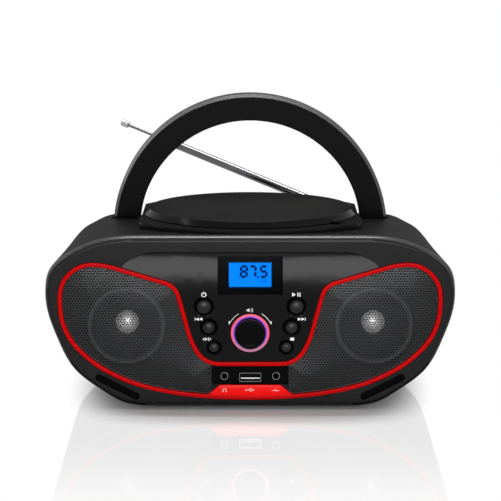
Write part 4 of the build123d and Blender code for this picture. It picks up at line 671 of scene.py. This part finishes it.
blockPiece("lidCatch", (-catchLook["half"] * mm, discY + front * mm, foot * mm),
           (catchLook["half"] * mm, discY + back * mm, head * mm), catchLook["fillet"] * mm, "lid", "lid", "lid")
print("lid ready")

# carry handle
handleLook = {"z": 87.0, "inner": 71.8, "outer": 88.8, "half": 8.0, "bevel": 1.9, "small": 0.9, "footZ": 96.3,
              "neck": 1.6, "steps": 96, "level": 1.2, "footFillet": 0.8, "sink": 0.4, "play": 0.2}
handleY = frame["joints"][1]["pos_m"][1]
inner, outer, half = handleLook["inner"], handleLook["outer"], handleLook["half"]
startAngle = math.asin((handleLook["footZ"] - handleLook["z"]) / outer)
bm = bmesh.new()
bevel, small = handleLook["bevel"], handleLook["small"]
shape = [(inner + small, -half), (outer - bevel, -half), (outer, -half + bevel), (outer, half - bevel),
         (outer - bevel, half), (inner + small, half), (inner, half - small), (inner, -half + small)]
centre = (0, handleY, handleLook["z"] * mm)
ring = [bm.verts.new((x * mm, handleY + y * mm, handleLook["z"] * mm)) for x, y in shape]
loop = [bm.edges.new(pair) for pair in zip(ring, ring[1:] + ring[:1])]
bmesh.ops.rotate(bm, verts=ring, cent=centre, matrix=Matrix.Rotation(-startAngle, 3, "Y"))
bmesh.ops.spin(bm, geom=ring + loop, cent=centre, axis=(0, -1, 0), dvec=(0, 0, 0), angle=math.pi - 2 * startAngle,
               steps=handleLook["steps"], use_merge=False, use_normal_flip=False, use_duplicate=False)
for vert in bm.verts:
    if abs(vert.co.x) > 0.05 and vert.co.z < (handleLook["footZ"] + handleLook["level"]) * mm:
        vert.co.z = handleLook["footZ"] * mm
ends = [e for e in bm.edges if e.is_boundary]
bmesh.ops.edgeloop_fill(bm, edges=ends)
bmesh.ops.remove_doubles(bm, verts=bm.verts, dist=0.00001)
feet = [e for e in bm.edges if all(v.co.z < (handleLook["footZ"] + 0.01) * mm for v in e.verts)]
roundEdges(bm, feet, handleLook["footFillet"] * mm, 2)
arch = addPiece("carryHandleArch", finishMesh(bm, "carryHandleArch", 28), "handle", "handle", "handle",
                "carry_handle")
paintFaces(arch, "handleEdge", lambda face: 0.3 < abs(face.normal.y) < 0.95)    # the bevels are polished
for side, word in ((-1, "left"), (1, "right")):
    bm = bmesh.new()
    neck = handleLook["neck"]
    low, high = sorted((side * (inner + neck) * mm, side * (outer - neck) * mm))
    addBox(bm, (low, handleY - (half - neck) * mm, handleLook["z"] * mm),
           (high, handleY + (half - neck) * mm, (handleLook["footZ"] + handleLook["sink"]) * mm))
    radius = (half - handleLook["play"]) * mm
    made = bmesh.ops.create_cone(bm, cap_ends=True, segments=48, radius1=radius, radius2=radius, depth=high - low)
    bmesh.ops.rotate(bm, verts=made["verts"], cent=(0, 0, 0), matrix=Matrix.Rotation(math.pi / 2, 3, "Y"))
    bmesh.ops.translate(bm, verts=made["verts"], vec=((low + high) / 2, handleY, handleLook["z"] * mm))
    addPiece(word + "HandleFoot", finishMesh(bm, word + "HandleFoot"), "handle", "shell", "handle")
print("handle ready")

# small marks, laid on the surface that carries them
surfaces = {}


def onSurface(node, x, z, lift):
    if node not in surfaces:
        mesh = nodes[node].data
        surfaces[node] = BVHTree.FromPolygons([v.co for v in mesh.vertices], [p.vertices for p in mesh.polygons])
    hit = surfaces[node].ray_cast(Vector((x, faceY - 0.05, z)), Vector((0, 1, 0)))[0]
    return (hit.y if hit else faceY) - lift


def mark(name, shapes, centre, node, finish, lift=0.06, thick=0.05):
    # flat ink made of outlines; each outline is a list of (x, z) in millimetres from the centre
    bm = bmesh.new()
    for shape in shapes:
        corners = [bm.verts.new(((centre[0] + x) * mm, 0, (centre[1] + z) * mm)) for x, z in shape]
        bm.faces.new(corners)
    bmesh.ops.recalc_face_normals(bm, faces=bm.faces)
    for face in bm.faces:
        if face.normal.y > 0:
            face.normal_flip()
    for vert in bm.verts:
        vert.co.y = onSurface(node, vert.co.x, vert.co.z, lift * mm) if node else faceY + lift * mm
    made = bmesh.ops.extrude_face_region(bm, geom=bm.faces[:])
    bmesh.ops.translate(bm, verts=[v for v in made["geom"] if isinstance(v, bmesh.types.BMVert)],
                        vec=(0, thick * mm, 0))
    addPiece(name, finishMesh(bm, name, 30), "root", finish, "red" if finish == "plateInk" else "panel")


def bar(x0, z0, x1, z1, width):
    # a straight stroke
    dx, dz = x1 - x0, z1 - z0
    length = math.hypot(dx, dz)
    nx, nz = -dz / length * width / 2, dx / length * width / 2
    return [(x0 + nx, z0 + nz), (x1 + nx, z1 + nz), (x1 - nx, z1 - nz), (x0 - nx, z0 - nz)]


def sweep(radius, start, end, width, steps=14):
    # strokes along an arc
    turns = [math.radians(start + (end - start) * i / steps) for i in range(steps + 1)]
    spots = [(radius * math.cos(t), radius * math.sin(t)) for t in turns]
    return [bar(*a, *b, width) for a, b in zip(spots, spots[1:])]


def arrow(x, z, size, way):
    return [(x, z + size / 2), (x, z - size / 2), (x + way * size * 0.8, z)]


def shift(shapes, dx, dz):
    return [[(x + dx, z + dz) for x, z in shape] for shape in shapes]


def rowOf(v):
    # height on the panel of a row of the photograph
    return 47.0 + (332 - v) * 0.603


iconLook = {"size": 1.9, "stroke": 0.40, "grown": (1.35, 1.35), "flat": (1.3, 1.0)}
size, stroke = iconLook["size"], iconLook["stroke"]
powerMark = sweep(0.95, 125, 415, stroke) + [bar(0, 0.2, 0, 1.25, stroke)]
backMark = [arrow(0, 0, size, -1), arrow(1.6, 0, size, -1), bar(-1.75, -0.9, -1.75, 0.9, 0.3)]
nextMark = [arrow(0, 0, size, 1), arrow(-1.6, 0, size, 1), bar(1.75, -0.9, 1.75, 0.9, 0.3)]
playMark = [arrow(-1.9, 0, size, 1), bar(0.6, -0.9, 0.6, 0.9, 0.42), bar(1.5, -0.9, 1.5, 0.9, 0.42)]
stopMark = [[(-0.85, -0.85), (0.85, -0.85), (0.85, 0.85), (-0.85, 0.85)]]
waveMark = [bar(-1.6, -0.5, -1.6, 0.5, 0.4), bar(-0.8, -0.95, -0.8, 0.95, 0.4), bar(0, -0.6, 0, 0.6, 0.4),
            bar(0.8, -1.0, 0.8, 1.0, 0.4), bar(1.6, -0.4, 1.6, 0.4, 0.4)]
marks = {"powerMark": (powerMark, -27.3, rowOf(293.6)), "backMark": (backMark, -30.2, rowOf(318)),
         "modeMark": (waveMark, -25.5, rowOf(338)), "playMark": (playMark, 27.3, rowOf(293.6)),
         "nextMark": (nextMark, 30.2, rowOf(318)), "stopMark": (stopMark, 24.8, rowOf(338))}
for name, (shapes, x, z) in marks.items():
    wide, tall = iconLook["grown" if z > rowOf(300) else "flat"]    # between two buttons there is less room
    mark(name, [[(px * wide, pz * tall) for px, pz in shape] for shape in shapes], (x, z), "control_panel", "ink")
hornMark = [[(-1.9, -0.45), (-1.2, -0.45), (-0.3, -1.1), (-0.3, 1.1), (-1.2, 0.45), (-1.9, 0.45)]]
hornMark += sweep(0.9, -50, 50, 0.28, 6) + sweep(1.7, -50, 50, 0.28, 8)
mark("volumeMark", shift(hornMark, -0.2, 0), (0, rowOf(309.2)), "control_panel", "ink")
for way in (-1, 1):
    line = sweep(13.4, 90 - way * 60, 90 - way * 30, 0.28, 12)
    tip = math.radians(90 - way * 64)
    tipAt = (13.4 * math.cos(tip), 13.4 * math.sin(tip))
    head = [(tipAt[0] - way * 0.7, tipAt[1] + 1.3), (tipAt[0] + way * 0.75, tipAt[1] + 1.2),
            (tipAt[0] + way * 0.35, tipAt[1] - 0.8)]
    mark("volumeArc" + ("Left" if way < 0 else "Right"), line + [head], (0, 47.0), "control_panel", "ink")

# marks of the port plate
headMark = sweep(0.95, -20, 200, 0.3, 12) + [bar(-1.0, -0.35, -1.0, -1.15, 0.6), bar(1.0, -0.35, 1.0, -1.15, 0.6)]
plugMark = [bar(-2.3, 0, 1.6, 0, 0.26), [(1.4, 0.5), (1.4, -0.5), (2.5, 0)], bar(-1.2, 0, -0.2, 0.85, 0.24),
            bar(-0.2, 0.85, 0.9, 0.85, 0.24), bar(-0.6, 0, 0.3, -0.85, 0.24), bar(0.3, -0.85, 1.0, -0.85, 0.24),
            [(-2.7, 0.4), (-1.9, 0.4), (-1.9, -0.4), (-2.7, -0.4)]]
lineMark = [bar(-2.2, -0.3, -0.6, -0.3, 0.26), bar(-0.6, -0.3, 0.0, 0.7, 0.26), bar(0.0, 0.7, 0.6, -0.9, 0.26),
            bar(0.6, -0.9, 1.0, -0.3, 0.26), bar(1.0, -0.3, 2.2, -0.3, 0.26)]
for name, shapes, x in (("headphoneMark", headMark, -15.2), ("busMark", plugMark, 0.0), ("lineMark", lineMark, 15.1)):
    mark(name, shapes, (x, plateLook["z"]), None, "plateInk", lift=plateLook["front"] - 0.07)
print("marks ready")

# display: seven-segment figures on the lit glass
displayLook = {"depth": 3.86, "z": 81.3, "digit": (3.4, 6.3), "stroke": 1.35, "slant": 0.06, "gap": 0.36,
               "line": -1.1, "row": (("8", -5.6), ("7", -0.5), ("5", 6.1)), "point": (4.0, -1.9, 1.1), "drop": 0.2,
               "bars": {"x": 6.4, "pitch": 0.9, "z": (-4.3, -3.5), "width": 0.42}}
segments = {"a": (0, 1, 1, 1), "b": (1, 1, 1, 0.5), "c": (1, 0.5, 1, 0), "d": (0, 0, 1, 0), "e": (0, 0.5, 0, 0),
            "f": (0, 1, 0, 0.5), "g": (0, 0.5, 1, 0.5)}
figures = {"8": "abcdefg", "7": "abc", "5": "afgcd"}


def figure(letter, x, z):
    width, tall = displayLook["digit"]
    strokes = []
    for key in figures[letter]:
        x0, z0, x1, z1 = segments[key]
        a = (x + x0 * width + z0 * tall * displayLook["slant"], z + z0 * tall)
        b = (x + x1 * width + z1 * tall * displayLook["slant"], z + z1 * tall)
        pull = displayLook["gap"] / math.hypot(b[0] - a[0], b[1] - a[1])
        dx, dz = (b[0] - a[0]) * pull, (b[1] - a[1]) * pull
        strokes.append(bar(a[0] + dx, a[1] + dz, b[0] - dx, b[1] - dz, displayLook["stroke"]))
    return strokes


shapes = [stroke for letter, x in displayLook["row"] for stroke in figure(letter, x, displayLook["line"])]
x, z, wide = displayLook["point"]
shapes += [[(x, z), (x + wide, z), (x + wide, z + wide), (x, z + wide)]]
bars = displayLook["bars"]
for i in range(4):
    x = bars["x"] + bars["pitch"] * i
    shapes.append(bar(x, bars["z"][0], x, bars["z"][1], bars["width"]))
mark("displayFigures", shapes, (0, displayLook["z"] - displayLook["drop"]), None, "segment",
     lift=displayLook["depth"], thick=0.03)
print("display ready")

# port rings and the socket's contacts
jackLook = {"spread": 15.3, "z": 21.1, "inner": 1.86, "outer": 2.32, "front": -0.8, "back": -0.4, "chamfer": 0.12}
inner, outer, chamfer = jackLook["inner"], jackLook["outer"], jackLook["chamfer"]
front, back = jackLook["front"], jackLook["back"]
profile = [(inner, back), (inner, front), (inner + chamfer, front - chamfer), (outer - chamfer, front - chamfer),
           (outer, front), (outer, back), (inner, back)]
for word, x in (("headphone", -jackLook["spread"]), ("aux", jackLook["spread"])):
    mesh = lathe(word + "Ring", profile, (x * mm, faceY, jackLook["z"] * mm), (0, 1, 0), 48, 40)
    addPiece(word + "Ring", mesh, "root", "nickel", slotOf["headphone_jack"])
low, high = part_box("usb_socket")
middle = (low[2] + high[2]) / 2
rimLook = {"proud": 0.06, "back": 0.4, "half": 6.3, "tall": 2.5, "bar": 0.16, "post": 0.12}
bm = bmesh.new()
front, back = low[1] - rimLook["proud"] * mm, low[1] + rimLook["back"] * mm
for way in (-1, 1):
    z, thin = way * rimLook["tall"], rimLook["bar"]
    addBox(bm, (-rimLook["half"] * mm, front, middle + (z - thin) * mm),
           (rimLook["half"] * mm, back, middle + (z + thin) * mm))
    x, post = way * rimLook["half"], rimLook["post"]
    addBox(bm, ((x - post) * mm, front, middle - rimLook["tall"] * mm),
           ((x + post) * mm, back, middle + rimLook["tall"] * mm))
addPiece("socketRim", finishMesh(bm, "socketRim"), "root", "nickel", slotOf["usb_socket"])
tongueLook = {"half": 5.6, "depth": (1.0, 9.0), "below": (1.15, 0.45), "fillet": 0.1}
(front, back), (foot, head) = tongueLook["depth"], tongueLook["below"]
blockPiece("socketTongue", (-tongueLook["half"] * mm, low[1] + front * mm, middle - foot * mm),
           (tongueLook["half"] * mm, low[1] + back * mm, middle - head * mm), tongueLook["fillet"] * mm,
           "root", "ink", slotOf["usb_socket"])
contactLook = {"first": -3.6, "pitch": 2.4, "half": 0.55, "depth": (0.95, 8.0), "z": (20.05, 20.2)}
bm = bmesh.new()
(front, back), (foot, head) = contactLook["depth"], contactLook["z"]
for i in range(4):
    x = contactLook["first"] + contactLook["pitch"] * i
    addBox(bm, ((x - contactLook["half"]) * mm, faceY + front * mm, foot * mm),
           ((x + contactLook["half"]) * mm, faceY + back * mm, head * mm))
addPiece("socketContacts", finishMesh(bm, "socketContacts"), "root", "cap", slotOf["usb_socket"])

# a sensor dot beside the display
eyeLook = {"x": -16.2, "z": 86.0, "profile": [(0, -0.35), (0.75, -0.3), (0.85, 0.1)]}
x, z = eyeLook["x"] * mm, eyeLook["z"] * mm
mesh = lathe("sensorEye", eyeLook["profile"],
             (x, onSurface("display_window", x, z, 0), z), (0, 1, 0), 24)
addPiece("sensorEye", mesh, "root", "ports", slotOf["display_window"])


def raysSeen(wire):
    # rays of the camera alone, and of the camera, mirrors and glass together
    camera, glossy, through = [wire.node("ShaderNodeLightPath", output=key)
                               for key in ("Is Camera Ray", "Is Glossy Ray", "Is Transmission Ray")]
    return camera, wire.sum("MAXIMUM", wire.sum("MAXIMUM", camera, glossy), through)


# floor, light and camera
floorLook = {"size": 6.0, "shade": (0.84, 0.86), "half": (0.085, 0.135, 1.0), "from": 1.05, "to": 1.36,
             "mirror": 0.20, "mirrorRough": 0.04, "clear": 1.4, "gone": 2.9}
bm = bmesh.new()
bmesh.ops.create_grid(bm, x_segments=1, y_segments=1, size=floorLook["size"])
mesh = bpy.data.meshes.new("studioFloor")
bm.to_mesh(mesh)
bm.free()
floor = bpy.data.objects.new("studioFloor", mesh)
scene.collection.objects.link(floor)
material, wire = newMaterial("floorPaint")
camera, seen = raysSeen(wire)
low, high = floorLook["shade"]
paint = wire.node("ShaderNodeBsdfDiffuse", inputs={
    "Color": blend(wire, noise(wire, 3.0), rgb((low, low, low)), rgb((high, high, high)))})
scaled = wire.node("ShaderNodeVectorMath", {"operation": "DIVIDE"}, {0: place(wire), 1: floorLook["half"]})
squared = wire.node("ShaderNodeVectorMath", {"operation": "MULTIPLY"}, {0: scaled, 1: scaled})
away = wire.node("ShaderNodeVectorMath", {"operation": "DOT_PRODUCT"}, {0: squared, 1: squared},
                 output="Value") ** 0.25
paler = wire.node("ShaderNodeMapRange", {"interpolation_type": "SMOOTHSTEP"}, {
    "Value": away, "From Min": floorLook["from"], "From Max": floorLook["to"]})
fading = wire.node("ShaderNodeMapRange", {"interpolation_type": "SMOOTHSTEP"}, {
    "Value": away, "From Min": floorLook["gone"], "From Max": floorLook["clear"]})
white = wire.node("ShaderNodeEmission", inputs={"Color": rgb((1, 1, 1)), "Strength": 1.0})
base = wire.node("ShaderNodeMixShader", inputs={0: seen * paler, 1: paint, 2: white})
mirror = wire.node("ShaderNodeBsdfGlossy", inputs={"Color": rgb((1, 1, 1)), "Roughness": floorLook["mirrorRough"]})
surface = wire.node("ShaderNodeMixShader", inputs={0: camera * fading * floorLook["mirror"], 1: base, 2: mirror})
wire.node("ShaderNodeOutputMaterial", inputs={"Surface": surface})
mesh.materials.append(material)

world = bpy.data.worlds.new("studioRoom")
scene.world = world
world.use_nodes = True
world.node_tree.nodes.clear()
wire = Wire(world.node_tree)
seen = raysSeen(wire)[1]
room = wire.node("ShaderNodeBackground", inputs={"Color": rgb((1, 1, 1)), "Strength": 0.30})
white = wire.node("ShaderNodeBackground", inputs={"Color": rgb((1, 1, 1)), "Strength": 1.0})
surface = wire.node("ShaderNodeMixShader", inputs={0: seen, 1: room, 2: white})
wire.node("ShaderNodeOutputWorld", inputs={"Surface": surface})

lamps = {"topSoftbox": {"spot": (0, 0.25, 1.1), "aim": (0, -0.04, 0.05), "size": (0.45, 0.25), "power": 9},
         "ridgeStrip": {"spot": (0, 0.02, 1.2), "aim": (0, -0.04, 0.05), "size": (1.7, 0.05), "power": 4},
         "frontSoftbox": {"spot": (0, -1.75, 0.36), "aim": (0, -0.1, 0.10), "size": (0.8, 0.6), "power": 16},
         "leftStrip": {"spot": (-1.1, 0.08, 0.75), "aim": (0, 0, 0.08), "size": (0.10, 0.9), "power": 3.5},
         "rightStrip": {"spot": (1.1, -0.40, 0.75), "aim": (0, 0, 0.08), "size": (0.10, 0.9), "power": 3.5}}
for name, look in lamps.items():
    data = bpy.data.lights.new(name, "AREA")
    data.shape = "RECTANGLE"
    data.size, data.size_y = look["size"]
    data.energy = look["power"]
    lamp = bpy.data.objects.new(name, data)
    lamp.location = look["spot"]
    lamp.rotation_euler = (Vector(look["aim"]) - Vector(look["spot"])).to_track_quat("-Z", "Y").to_euler()
    scene.collection.objects.link(lamp)

cameraLook = {"x": 0.0002, "back": 1.2, "z": 0.30263, "pitch": 9.75, "lens": 149.17}
data = bpy.data.cameras.new("photoCamera")
data.lens, data.sensor_width, data.sensor_fit = cameraLook["lens"], 36.0, "HORIZONTAL"
data.clip_end = 50.0
camera = bpy.data.objects.new("photoCamera", data)
camera.location = (cameraLook["x"], faceY - cameraLook["back"], cameraLook["z"])
camera.rotation_euler = (math.radians(90 - cameraLook["pitch"]), 0, 0)
scene.collection.objects.link(camera)
scene.camera = camera
scene.view_settings.view_transform = "Standard"
print("stage ready")
